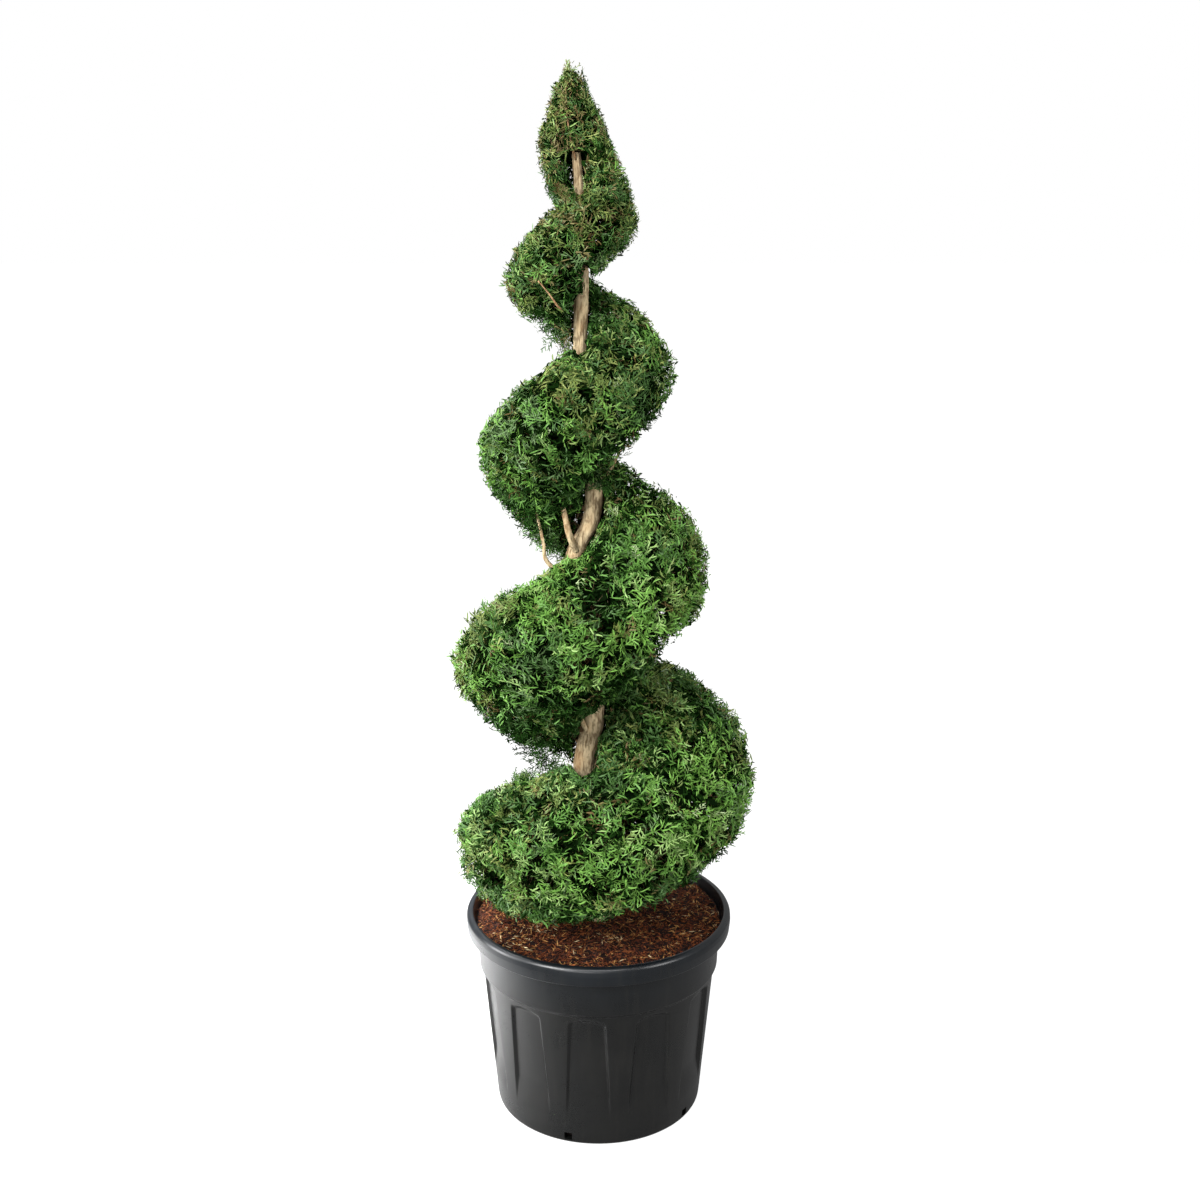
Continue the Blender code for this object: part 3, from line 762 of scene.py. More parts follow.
def buildChips():
    # loose chips: stretched eight-sided lumps laid nearly flat, dealt out over the colours
    rng = np.random.default_rng(mulch["seed"])
    total = mulch["chips"]
    radius = (mulch["edgeRadius"] - 0.003) * np.sqrt(rng.uniform(mulch["middle"], 1, total))
    turn = rng.uniform(0, 2 * np.pi, total)
    length = rng.uniform(*mulch["chipLength"], total) * rng.uniform(0.6, 1.0, total)
    width = rng.uniform(*mulch["chipWidth"], total)
    heading = rng.uniform(0, 2 * np.pi, total)
    tilt = rng.normal(0, mulch["tilt"], total)
    ahead = roundUpright(np.cos(tilt), heading, np.sin(tilt))
    side = unit(np.cross(ahead, np.array([0.0, 0.0, 1.0])) + rng.normal(0, 0.25, (total, 3)))
    over = np.cross(side, ahead)
    middle = roundUpright(radius, turn, 0.0)
    x, y = middle[:, 0], middle[:, 1]
    ground = mulchTop(x, y)
    middle[:, 2] = ground + rng.uniform(0.0, mulch["lift"], total)
    raised = (middle[:, 2] - ground) / mulch["lift"]
    shape = np.array([[-1, 0, 0], [1, 0, 0], [0, 1, 0], [0, -1, 0], [0, 0, 1], [0, 0, -1]], float)
    wobble = 1 + rng.uniform(-mulch["wobble"], mulch["wobble"], (total, 6, 1))
    steps = shape * wobble + np.array([0.3, 0.0, 0.0]) * rng.uniform(-1, 1, (total, 1, 1))
    points = (
        middle[:, None]
        + steps[..., :1] * (ahead * length[:, None] / 2)[:, None]
        + steps[..., 1:2] * (side * width[:, None] / 2)[:, None]
        + steps[..., 2:] * (over * width[:, None] * mulch["thick"])[:, None]
    )
    octahedron = np.array(
        [[1, 2, 4], [2, 0, 4], [0, 3, 4], [3, 1, 4], [2, 1, 5], [0, 2, 5], [3, 0, 5], [1, 3, 5]]
    )
    drift = mulch["driftShare"] * layers(x, y, "drift")
    # a chip that lies lower gets a darker colour: painted shade between the chips
    order = np.argsort(rng.uniform(0, 1, total) + drift + mulch["raisedShare"] * raised)
    draw = np.empty(total)
    draw[order] = np.arange(total) / total
    reached = 0.0
    for name, (shade, share) in chipColours.items():
        chosen = points[(draw >= reached) & (draw < reached + share)]
        reached += share
        faces = [repeatFaces(octahedron, len(chosen), 6)]
        makePiece(name, chosen.reshape(-1, 3), faces, mulchFinish(name, shade), "soil_mulch", [], False)
    print("mulch made:", total, "chips")


# Trunk and boughs

limbs = {
    # height, lean and radius
    "trunkLine": (
        (0.3723, -0.008, 0.0270),
        (0.440, -0.012, 0.0250),
        (0.560, -0.022, 0.0225),
        (0.670, -0.026, 0.0205),
        (0.717, -0.020, 0.0198),
        (0.760, -0.009, 0.0192),
        (0.880, -0.014, 0.0180),
        (1.000, -0.032, 0.0172),
        (1.075, -0.041, 0.0165),
        (1.135, -0.014, 0.0155),
        (1.200, -0.008, 0.0148),
        (1.330, -0.022, 0.0135),
        (1.440, -0.031, 0.0122),
        (1.560, -0.028, 0.0112),
        (1.690, -0.031, 0.0092),
        (1.765, -0.037, 0.0070),
    ),
    "flareHeight": 0.045,
    "flareRadius": 0.009,
    "flareLobes": 5,
    "trunkRows": 760,
    "trunkAround": 84,
    "stripDepth": 0.0008,
    "boughRows": 90,
    "boughAround": 28,
    "boughStripDepth": 0.0006,
}
relief = {
    # how many strips go round the limb, with the share of each
    "strips": ((7, 0.9), (13, 0.8), (23, 0.5)),
    "stripRise": 6,
    "wander": 0.35,
    "wanderRise": 9,
    "wanderAround": 6,
    "flakes": 0.35,
    "flakeRise": 55,
    "flakesAround": 31,
}
boughLines = {
    "upperLeft": {
        "route": ((-0.040, -0.012, 1.085), (-0.052, -0.030, 1.120), (-0.062, -0.040, 1.168)),
        "radii": (0.0070, 0.0040),
    },
    "lowerLeft": {
        "route": (
            (-0.050, -0.004, 1.030),
            (-0.075, -0.014, 1.048),
            (-0.094, -0.022, 1.072),
            (-0.097, -0.026, 1.100),
            (-0.108, -0.026, 1.154),
        ),
        "radii": (0.0050, 0.0022),
    },
    "right": {
        "route": ((0.006, 0.004, 1.205), (0.022, 0.010, 1.228), (0.040, 0.014, 1.262)),
        "radii": (0.0030, 0.0018),
    },
    "foot": {
        "route": ((-0.018, -0.010, 0.735), (-0.029, -0.030, 0.768), (-0.037, -0.044, 0.800)),
        "radii": (0.0048, 0.0034),
    },
}


def trunkAt(z):
    # the trunk's lean and radius at a height: the same cubic through its line, on uneven heights
    line = np.array(limbs["trunkLine"])
    heights = line[:, 0]
    i = np.clip(np.searchsorted(heights, z, side="right") - 1, 0, len(heights) - 2)
    span = heights[i + 1] - heights[i]
    u = np.clip((z - heights[i]) / span, 0.0, 1.0)
    low = np.maximum(np.arange(len(heights)) - 1, 0)
    high = np.minimum(np.arange(len(heights)) + 1, len(heights) - 1)
    slope = (line[high] - line[low]) / (heights[high] - heights[low])[:, None]
    return [
        cubic(u, line[i, k], line[i + 1, k], span * slope[i, k], span * slope[i + 1, k]) for k in (1, 2)
    ]


def barkRelief(turns, height, depth, seed):
    # long strips that peel a little: ridged waves round the limb that wander slowly with height
    slow = relief["wanderAround"]
    wander = relief["wander"] * latticeNoise(height * relief["wanderRise"], turns * slow, seed, slow)
    raised = np.zeros(np.broadcast(turns, height).shape)
    for strips, share in relief["strips"]:
        across = (turns + wander / strips) * strips
        wave = np.abs(latticeNoise(height * relief["stripRise"] + strips, across, seed + strips, strips))
        raised = raised + share * (0.5 - wave)
    many = relief["flakesAround"]
    flakes = latticeNoise(height * relief["flakeRise"], turns * many, seed + 1, many)
    return depth * (raised + relief["flakes"] * flakes)


barkShades = {
    # pale strips and the dark between them
    "barkTanStrips": (colour(206, 186, 148), colour(118, 98, 72)),
    # a darker copy of the tan bark, for the boughs and twigs inside the coil: painted shade
    "barkInnerShadedBrown": (colour(92, 76, 52), colour(46, 36, 24)),
    "barkTwigTan": (colour(172, 138, 102), colour(112, 82, 56)),
}


def barkFinish(name):
    # pale strips and darker fibres along the limb, mottled, with rusty stains, darker near the top
    finish = Finish(name, {"Specular IOR Level": 0.25})
    pale, dark = barkShades[name]
    fibre = finish.noise(finish.place((1.0, 1.0, 0.14)), 300.0, 4.0)
    mottle = finish.noise(finish.place((1.0, 1.0, 0.6)), 150.0, 3.0)
    patch = finish.noise(finish.place((1.0, 1.0, 0.5)), 34.0, 3.0)
    strips = finish.ramp(fibre, [(0.34, dark), (0.52, pale), (0.68, tuple(1.1 * part for part in pale))])
    mottled = finish.mix(finish.spread(mottle, 0.0, 0.8, 0.50, 0.66), strips, dark)
    stained = finish.mix(finish.spread(patch, 0.0, 0.6, 0.45, 0.7), mottled, colour(160, 118, 74))
    height = finish.split(finish.place(), "Z")
    darkerAbove = finish.mix(finish.spread(height, 0.0, 0.40, 1.60, 1.70), stained, dark)
    finish.paint(Base_Color=darkerAbove, Roughness=finish.spread(fibre, 0.95, 0.75))
    finish.bump(fibre * 0.5 + mottle * 0.5, 0.6, 0.0014)
    return finish


def buildLimbs():
    bark = barkFinish("barkTanStrips")
    around = limbs["trunkAround"]
    z = np.linspace(trunkFoot, trunkTop, limbs["trunkRows"])[:, None]
    turns = (np.arange(around) / around)[None]
    angle = 2 * np.pi * turns
    lean, radius = trunkAt(z)
    spread = np.maximum(1 - (z - trunkFoot) / limbs["flareHeight"], 0.0) ** 2
    lobes = 0.7 + 0.3 * np.cos(limbs["flareLobes"] * angle + 0.6)
    radius = radius + limbs["flareRadius"] * spread * lobes
    radius = radius + barkRelief(turns, z, limbs["stripDepth"], 11) * (0.4 + radius / 0.03)
    rings = roundUpright(radius, angle, z, lean)
    ends = [[trunkAt(end)[0], 0, end] for end in (trunkFoot, trunkTop)]
    points = np.concatenate([rings.reshape(-1, 3), ends])
    makePiece("trunkBark", points, closedFaces(*rings.shape[:2]), bark, "bark", ["trunk"])

    parts = []
    sides = limbs["boughAround"]
    for number, line in enumerate(boughLines.values()):
        route = routeThrough(line["route"], limbs["boughRows"])
        turns = (np.arange(sides) / sides)[None]
        height = np.linspace(0, 0.12, len(route))[:, None]
        raised = barkRelief(turns, height, limbs["boughStripDepth"], 30 + number)
        parts.append(tube(route, np.linspace(*line["radii"], len(route)), sides, raised))
    makePiece("boughBark", *joinParts(parts), bark, "bark", boughNodes)
    print("limbs made:", 1 + len(parts))


# Sprays

spray = {
    "templates": 18,
    "length": 0.054,
    "pairs": 6,
    "ribSteps": 4,
    "ribOverlap": 1.2,
    "strokeWidth": 0.047,
    "bend": 0.9,
    "bendPower": 1.3,
    "sag": (-0.5, 0.2),
    "firstPlace": 0.10,
    "placeSpan": 0.80,
    "stagger": 0.25,
    "places": (0.04, 0.95),
    "opening": (0.55, 1.15),
    "strokeLength": (0.46, 0.26),
    "lengthVaries": (0.65, 1.2),
    "widthVaries": (0.85, 1.15),
    "lift": (-0.55, 0.45),
    "forksBelow": 0.66,
    "forkPlace": (0.35, 0.6),
    "forkTurn": (0.5, 1.0),
    "forkLift": 0.4,
    "forkLength": (0.45, 0.7),
    "forkWidth": 0.9,
    "roll": 0.9,
    "bow": 0.2,
    "seed": 7,
}


def sprayTemplate(rng):
    # A flat branching spray one unit long: strokes leave both sides of a bent midrib, and the lower
    # ones fork. Each stroke is (root, tip, width); x is across, y along and z off the spray's plane.
    width = spray["strokeWidth"]
    parts = spray["ribSteps"]
    bend = rng.uniform(-1, 1) * spray["bend"]
    sag = rng.uniform(*spray["sag"])
    share = np.linspace(0, 1, parts + 1)
    lean = bend * share ** spray["bendPower"]
    steps = np.stack([np.sin(lean), np.cos(lean), sag * share], -1) / parts
    midrib = np.concatenate([np.zeros((1, 3)), np.cumsum(steps[:parts], axis=0)])
    strokes = [
        (low, low + (high - low) * spray["ribOverlap"], width) for low, high in zip(midrib, midrib[1:])
    ]
    longest, shorter = spray["strokeLength"]
    for k in range(spray["pairs"]):
        for hand in (-1, 1):
            place = spray["placeSpan"] * (k + spray["stagger"] * hand) / (spray["pairs"] - 1)
            place = np.clip(spray["firstPlace"] + place, *spray["places"])
            root = np.array([np.interp(place * parts, range(parts + 1), axis) for axis in midrib.T])
            turn = bend * place ** spray["bendPower"] + hand * rng.uniform(*spray["opening"])
            length = (longest - shorter * place) * rng.uniform(*spray["lengthVaries"])
            lift = rng.uniform(*spray["lift"])
            way = np.array([math.sin(turn), math.cos(turn), lift])
            strokes.append((root, root + way * length, width * rng.uniform(*spray["widthVaries"])))
            if place < spray["forksBelow"]:
                fork = root + way * length * rng.uniform(*spray["forkPlace"])
                turn = turn + rng.choice((-1, 1)) * rng.uniform(*spray["forkTurn"])
                lift = lift + rng.uniform(-spray["forkLift"], spray["forkLift"])
                way = np.array([math.sin(turn), math.cos(turn), lift])
                tip = fork + way * length * rng.uniform(*spray["forkLength"])
                strokes.append((fork, tip, width * spray["forkWidth"]))
    return strokes


stripShape = ((0.0, 0.0), (0.30, -0.5), (0.30, 0.5), (0.76, -0.4), (0.76, 0.4), (1.0, 0.0))
stripFaces = np.array([[0, 2, 1], [1, 2, 4], [1, 4, 3], [3, 4, 5]])


def scaleStrips(root, way, across, bow=0.0):
    # six-cornered strips of root, two low, two high and tip corners, bowed aside by bow * 4s(1 - s)
    corners = [root + way * s + bow * 4 * s * (1 - s) + across * side for s, side in stripShape]
    return np.stack(corners, 1)


def sprayStrokes(strokes, rng):
    # each stroke of a template becomes a strip, bowed aside and turned about its own length
    root, tip = (np.array([stroke[k] for stroke in strokes]) for k in (0, 1))
    width = np.array([stroke[2] for stroke in strokes])[:, None]
    count = len(strokes)
    way = tip - root
    roll = rng.uniform(-spray["roll"], spray["roll"], (count, 1))
    flat = unit(np.cross(way, np.array([0.0, 0.0, 1.0])))
    across = flat * np.cos(roll) + unit(np.cross(flat, way)) * np.sin(roll)
    bend = rng.uniform(-spray["bow"], spray["bow"], (count, 1))
    bow = across * bend * np.linalg.norm(way, axis=1, keepdims=True)
    return scaleStrips(root, way, across * width, bow)


def growSprays(bases, ways, rolls, lengths, templates, which):
    # every stroke's corners: base + length * (x * side + y * way + z * face), spray after spray
    side = unit(np.cross(ways, np.array([0.13, 0.21, 0.97])))
    face = np.cross(side, ways)
    turned = side * np.cos(rolls)[:, None] + face * np.sin(rolls)[:, None]
    face = np.cross(turned, ways)
    strokes = []
    owners = []
    for k, corners in enumerate(templates):
        chosen = np.flatnonzero(which == k)
        axes = np.stack([turned[chosen], ways[chosen], face[chosen]], 1) * lengths[chosen, None, None]
        points = np.einsum("sca,nab->nscb", corners, axes) + bases[chosen][:, None, None]
        strokes.append(points.reshape(-1, 6, 3))
        owners.append(np.repeat(chosen, len(corners)))
    return np.concatenate(strokes), np.concatenate(owners)


# Foliage: clusters of sprays under the clipped surface, cut back to it

foliage = {
    "spacing": 0.0255,
    "spraysEach": 6,
    "rootDepth": (0.008, 0.052),
    "clumpRelief": 0.016,
    "clumpSize": 0.050,
    "fineRelief": 0.008,
    "fineSize": 0.018,
    "standProud": 0.010,
    "rowJitter": 0.4,
    "closestRows": 0.60,
    "widestRowsAt": 0.2,
    "rowStep": (0.88, 0.03),
    "hangingSize": (0.8, 1.2),
    "hangingSpread": 0.6,
    "hangingHeld": 0.4,
    "hangingKept": 0.75,
    "hollowFrom": 0.05,
    "hollowLeast": -0.1,
    "slimLeast": 0.55,
    "shortest": 0.45,
    "rootShare": 0.18,
    "tintShare": 0.6,
    "smallest": 0.48,
    "fullRadius": 0.18,
    "limbRoom": 0.004,
    "ragged": 0.35,
    "raggedSize": 0.012,
    "coverWays": ((0.0, -0.3, 1.0), (-0.6, -0.6, 0.6), (0.3, -0.9, 0.5), (-0.3, 0.0, 1.0)),
    "coverOut": 0.02,
    "coverDepth": 0.004,
    "shelterHeights": (0.62, 0.80),
    "coverSteps": (1, 2),
    "coverStep": 0.05,
    "underside": 0.45,
    "deepCover": 0.42,
    "shadeCover": 0.56,
    "shadeFrom": 0.014,
    "shadeShare": 0.24,
    "shadeWidth": 1.8,
    "pieceStrokes": 45000,
    "buried": 0.016,
    "nightBlades": 14000,
    "nightDepth": (0.020, 0.050),
    "nightLength": 0.040,
    "nightWidth": 0.42,
    "nightStray": 0.010,
    "nightUnder": 0.012,
    "unlit": ("leafDusk", "leafShade", "leafNight"),
    "tipRoom": 0.0008,
    "seed": 97,
}
hues = {
    # two sizes of patches with their seeds, the smaller one's weight, and how much each spray strays
    "fresh": ((0.105, 12), (0.042, 13), 0.7, 0.28),
    "warm": ((0.13, 14), (0.05, 15), 0.6, 0.25),
}
zoneHeights = {"top": (1.50, 1.80), "high": (1.10, 1.65), "low": (0.95, 0.55)}
rusty = {"from": 0.990, "more": 0.07}
anyHue = (-9.0, 9.0)
tintRules = (
    # the tint, the fresh and warm hues it needs, its share of the draw, and how much more of the draw
    # it gets in a zone; a later row goes over an earlier one
    ("leafFresh", (0.32, 9.0), anyHue, (0.0, 1.0), 0.0, "high"),
    ("leafMoss", (-9.0, 0.25), (0.15, 9.0), (0.0, 1.0), 0.0, "high"),
    ("leafDeep", (-9.0, -0.42), anyHue, (0.0, 1.0), 0.0, "high"),
    ("leafGrey", anyHue, (-9.0, -0.6), (0.0, 0.5), 0.0, "high"),
    ("leafBright", (-0.3, 9.0), anyHue, (0.0, 0.10), 0.0, "high"),
    ("leafYellow", anyHue, (-0.2, 9.0), (0.10, 0.17), 0.05, "top"),
    ("leafPale", anyHue, anyHue, (0.22, 0.232), 0.0, "high"),
    ("leafOlive", anyHue, anyHue, (0.25, 0.26), 0.34, "top"),
    ("leafBright", anyHue, anyHue, (0.30, 0.30), 0.10, "low"),
    ("leafFresh", anyHue, anyHue, (0.42, 0.42), 0.10, "low"),
    ("leafMoss", anyHue, anyHue, (0.50, 0.50), 0.24, "high"),
    ("leafDeep", anyHue, anyHue, (0.74, 0.74), 0.22, "high"),
)
tuft = {
    "low": 1.768,
    "clusters": 130,
    "size": 0.46,
    "tipRoom": 0.001,
    "undercut": 0.034,
    "undercutTo": 1.835,
}
twigs = {
    "stalkRadius": 0.0010,
    "stalkDepth": 0.005,
    "stalkShare": 0.5,
    "feedRadii": (0.0026, 0.0022, 0.0017, 0.0011),
    "feedSag": 0.006,
    "heartStep": 0.11,
    "heartDepth": 0.42,
    "highest": 1.66,
    "innerSteps": 7,
    "innerSides": 7,
    "innerSag": 0.12,
    "innerDrop": (0.1, 0.6),
    "innerThick": (0.0025, 0.018),
    "innerVaries": (0.6, 1.15),
    "innerTaper": 0.45,
    "shownSteps": 24,
    "shownSides": 9,
    "brown": colour(88, 70, 46),
    "seed": 61,
    "shown": {
        "leader": {
            "route": (
                (-0.037, -0.006, 1.752),
                (-0.044, -0.020, 1.776),
                (-0.0505, -0.032, 1.815),
                (-0.0530, -0.0265, 1.850),
                (-0.0530, -0.014, 1.886),
            ),
            "radii": (0.0018, 0.0009),
        },
        "leftDiagonal": {
            "route": (
                (-0.060, -0.058, 1.508),
                (-0.069, -0.074, 1.519),
                (-0.083, -0.086, 1.540),
                (-0.099, -0.094, 1.560),
            ),
            "radii": (0.0019, 0.0010),
        },
        "lightUpright": {
            "route": ((-0.018, -0.008, 1.275), (-0.040, -0.075, 1.285), (-0.0445, -0.120, 1.318)),
            "radii": (0.0034, 0.0016),
        },
    },
}
openings = {
    # where the trunk shows in front: from low to high, half as wide as given, beside the trunk by the
    # shift, with the rise of the clear lane for each metre forward
    "top": {"low": 1.695, "high": 1.756, "half": 0.0072, "shift": 0.0, "rise": 0.01},
    "second": {"low": 1.430, "high": 1.530, "half": 0.0135, "shift": -0.001, "rise": 0.08},
    "secondHigh": {"low": 1.500, "high": 1.580, "half": 0.0055, "shift": 0.009, "rise": 0.08},
    "third": {"low": 1.068, "high": 1.190, "half": 0.0185, "shift": 0.0, "rise": 0.22},
    "thirdLeft": {"low": 1.085, "high": 1.150, "half": 0.0110, "shift": -0.026, "rise": 0.22},
    "foot": {"low": 0.655, "high": 0.772, "half": 0.0235, "shift": -0.001, "rise": 0.36},
}
shearing = {
    # where the shears cut deeper, or left more with a minus: middle, reach and depth
    "rightTopFirst": ((0.048, -0.02, 1.715), 0.050, -0.014),
    "leftSecond": ((-0.125, -0.02, 1.645), 0.040, 0.010),
    "rightNotchSecond": ((0.022, -0.02, 1.549), 0.032, 0.030),
    "rightTopSecond": ((0.030, 0.06, 1.536), 0.042, 0.018),
    "gapUnderSecond": ((-0.066, 0.03, 1.457), 0.046, 0.120),
    "leftThird": ((-0.185, -0.02, 1.345), 0.065, 0.022),
    "rightThirdFull": ((0.110, -0.02, 1.318), 0.035, -0.014),
    "rightNotchThird": ((0.078, -0.02, 1.222), 0.050, 0.032),
    "rightNotchTip": ((0.040, -0.02, 1.250), 0.035, 0.026),
    "rightTopThird": ((0.066, 0.09, 1.218), 0.050, 0.056),
    "rightTopThirdOuter": ((0.128, 0.06, 1.168), 0.050, 0.032),
    "gapRightThird": ((0.018, -0.06, 1.274), 0.026, 0.036),
    "gapRightThirdBack": ((0.020, 0.09, 1.245), 0.034, 0.045),
    "leftUnderThird": ((-0.150, -0.02, 1.110), 0.050, 0.014),
    "leftShoulder": ((-0.185, -0.02, 0.995), 0.075, -0.022),
    "rightNotchFoot": ((0.122, -0.02, 0.924), 0.040, 0.060),
    "rightUnderFourth": ((0.124, -0.11, 0.940), 0.042, 0.026),
    "rightTopFoot": ((0.140, 0.13, 0.835), 0.040, -0.014),
    "leftUnderFourth": ((-0.200, -0.02, 0.772), 0.045, 0.040),
    "leftLowFourth": ((-0.162, -0.02, 0.742), 0.022, -0.012),
    "gapUnderFourth": ((-0.072, 0.05, 0.662), 0.060, 0.090),
    "footLobeTop": ((-0.160, -0.02, 0.655), 0.030, -0.015),
    "leftFoot": ((-0.250, -0.02, 0.480), 0.090, 0.030),
    "rightFoot": ((0.185, -0.02, 0.485), 0.030, -0.014),
}
# the shady kinds are dark tints: painted shade for sprays hung under the lobes; sprays hung behind the
# openings take the darkest shade alone
shady = ("leafGreen", "leafDeep", "leafDusk", "leafGrey", "leafShade", "leafDusk")
fresh = ("leafFresh", "leafGreen", "leafBright", "leafDeep")
dead = ("leafRusty", "leafOlive", "leafRusty", "leafMoss")
crown = ("leafYellow", "leafPale", "leafOlive", "leafBright", "leafMoss")
hangings = {
    # loose sprays: from one place to another, spread round that line, count, way, size and tints
    "underSecond": (
        (-0.092, -0.01, 1.52), (-0.058, -0.01, 1.45), 0.015, 50, (-0.2, -0.1, -0.6), 0.7, shady
    ),
    "coverThird": ((-0.022, -0.05, 1.248), (0.012, -0.05, 1.212), 0.014, 90, (0.0, -0.3, -0.6), 0.6, shady),
    "coverFoot": ((-0.040, -0.05, 0.768), (-0.006, -0.05, 0.752), 0.010, 50, (0.1, -0.2, -0.7), 0.6, shady),
    "behindTop": (
        (-0.040, 0.03, 1.765), (-0.030, 0.03, 1.725), 0.010, 40, (0.0, 0.0, 0.1), 0.6, ("leafShade",)
    ),
    "deadSecond": ((-0.064, -0.03, 1.47), (-0.046, -0.03, 1.44), 0.012, 15, (-0.2, -0.1, -0.6), 0.5, dead),
    "footShoulder": (
        (-0.155, -0.02, 0.632), (-0.125, -0.02, 0.650), 0.012, 70, (0.0, 0.0, 1.2), 0.6, fresh
    ),
    "deadTop": ((-0.066, -0.03, 1.71), (-0.050, -0.03, 1.69), 0.008, 12, (-0.4, -0.1, -0.2), 0.4, dead),
    "underThird": (
        (-0.124, -0.01, 1.15), (-0.072, -0.01, 1.09), 0.014, 140, (-0.2, -0.1, -0.6), 0.65, shady
    ),
    "underFourth": (
        (-0.134, -0.02, 0.735), (-0.070, -0.02, 0.66), 0.015, 46, (-0.3, -0.1, -0.6), 0.75, shady
    ),
    "behindFoot": (
        (0.004, 0.06, 0.74), (0.022, 0.06, 0.70), 0.014, 24, (0.2, 0.1, -0.5), 0.8, ("leafShade",)
    ),
    "rightThird": ((0.010, 0.00, 1.28), (0.030, 0.00, 1.25), 0.012, 14, (0.3, -0.1, -0.5), 0.5, shady),
    "rightFoot": ((0.178, -0.02, 0.565), (0.196, -0.02, 0.555), 0.008, 16, (0.3, -0.1, -0.4), 0.6, shady),
    "crown": ((-0.046, -0.004, 1.864), (-0.043, -0.002, 1.892), 0.0055, 120, (0.1, -0.1, 2.2), 0.60, crown),
}
tints = {
    "leafBright": colour(130, 160, 92),
    "leafFresh": colour(102, 146, 62),
    "leafGreen": colour(84, 127, 53),
    "leafMoss": colour(94, 112, 54),
    "leafDeep": colour(60, 93, 42),
    "leafYellow": colour(122, 134, 70),
    # the palest tint is a painted highlight: whitish glints on the scales
    "leafPale": colour(158, 176, 128),
    "leafOlive": colour(108, 101, 60),
    "leafGrey": colour(86, 112, 68),
    "leafRusty": colour(98, 82, 48),
    # the three darkest tints are painted shade, for sprays under overhangs, deep inside and in the dark
    # core
    "leafDusk": colour(30, 56, 20),
    "leafShade": colour(20, 42, 12),
    "leafNight": colour(9, 21, 6),
}


def airNoise(points, size, seed):
    # smooth noise between -1 and 1 in space: random values on a cubic lattice, blended
    side = 32
    table = np.random.default_rng(seed).uniform(-1, 1, (side,) * 3)
    place = points / size
    low = np.floor(place).astype(int)
    share = ease(place - low)
    total = np.zeros(points.shape[:-1])
    for pick in np.ndindex(2, 2, 2):
        x, y, z = np.moveaxis((low + pick) % side, -1, 0)
        weight = np.prod(np.where(pick, share, 1 - share), axis=-1)
        total += weight * table[x, y, z]
    return total


def tuftRadius(z, frontness):
    # the cone of the top tuft, drawn in towards the trunk over the opening in front
    low = 1 - smoothStep(trunkTop, tuft["undercutTo"], z)
    return coneRadius(z) - tuft["undercut"] * low * np.clip(frontness, 0, 1) ** 2


def coilDepth(points):
    # how deep a point lies under the clipped surface, for the turn that covers it most: along the ray
    # from the section's middle, distance * (1/f - 1), where f^p = (r/full)^p + (dz/reach)^p
    z = points[..., 2]
    x = points[..., 0] - axisX(z)
    r = np.hypot(x, points[..., 1])
    first = (1 - np.arctan2(points[..., 1], x) / np.pi) % 2
    deepest = np.full(r.shape, -1.0)
    cone = coneRadius(z) - r
    for lap in range(coil["firstHalfTurn"], math.ceil(coil["end"]), 2):
        turn = first + lap
        rise = z - coilHeight(turn)
        full, reach, power = coilSection(turn, rise > 0)
        fill = ((r / full) ** power + (np.abs(rise) / reach) ** power) ** (1 / power)
        depth = np.minimum(np.hypot(r, rise) * (1 / np.maximum(fill, 1e-4) - 1), cone)
        held = (turn > coil["start"]) & (turn < coil["end"])
        deepest = np.where(held, np.maximum(deepest, depth), deepest)
    tuftCone = tuftRadius(z, -points[..., 1] / np.maximum(r, 0.001)) - r
    return np.where(z > trunkTop, np.maximum(deepest, tuftCone), deepest)


def clearOfLimbs(points):
    # away from the trunk's bark, and out of the openings through which it shows
    lean, radius = trunkAt(points[..., 2])
    away = np.hypot(points[..., 0] - lean, points[..., 1]) > radius + foliage["limbRoom"]
    ahead = -points[..., 1]
    ragged = 1 + foliage["ragged"] * airNoise(points, foliage["raggedSize"], 31)
    for opening in openings.values():
        z = points[..., 2] - opening["rise"] * ahead
        share = 2 * (z - opening["low"]) / (opening["high"] - opening["low"]) - 1
        half = opening["half"] * ragged * np.sqrt(np.clip(1 - share**4, 0, 1))
        aside = points[..., 0] - trunkAt(z)[0] - opening["shift"]
        away &= (np.abs(aside) > half) | (ahead < 0)
    return away


def shearCut(points):
    # how much deeper the shears went: depth * exp(-(distance / reach)^2), added up over the marks
    cut = np.zeros(points.shape[:-1])
    for middle, reach, depth in shearing.values():
        cut += depth * np.exp(-(((points - np.array(middle)) / reach) ** 2).sum(-1))
    return cut


def surfaceSpots(spacing, rng):
    # spots evenly spread over the clipped surface, in staggered rows down the coil
    turns = []
    slopes = []
    turn = coil["start"]
    row = 0
    jitter = foliage["rowJitter"]
    close = foliage["closestRows"]
    inner, least = foliage["rowStep"]
    fine = np.radians(np.linspace(-89, 89, 90))
    while turn < coil["end"]:
        radius = float(coilRadius(turn))
        here = spacing * (close + (1 - close) * min(radius / foliage["widestRowsAt"], 1.0))
        outline = coilSurface(np.full_like(fine, turn), fine, 0.0)
        lengths = np.concatenate([[0], np.cumsum(np.linalg.norm(np.diff(outline, axis=0), axis=1))])
        count = max(3, int(lengths[-1] / here))
        wanted = (np.arange(count) + (0.25 if row % 2 else 0.75)) / count * lengths[-1]
        wanted = wanted + rng.uniform(-jitter, jitter, count) * here
        slopes.append(np.interp(wanted, lengths, fine))
        turns.append(turn + rng.uniform(-jitter, jitter, count) * here / (math.pi * radius))
        turn += here / (math.pi * max(radius * inner, least))
        row += 1
    turns = np.concatenate(turns)
    slopes = np.concatenate(slopes)
    inside = turns < coil["end"] - 0.01
    return turns[inside], slopes[inside]


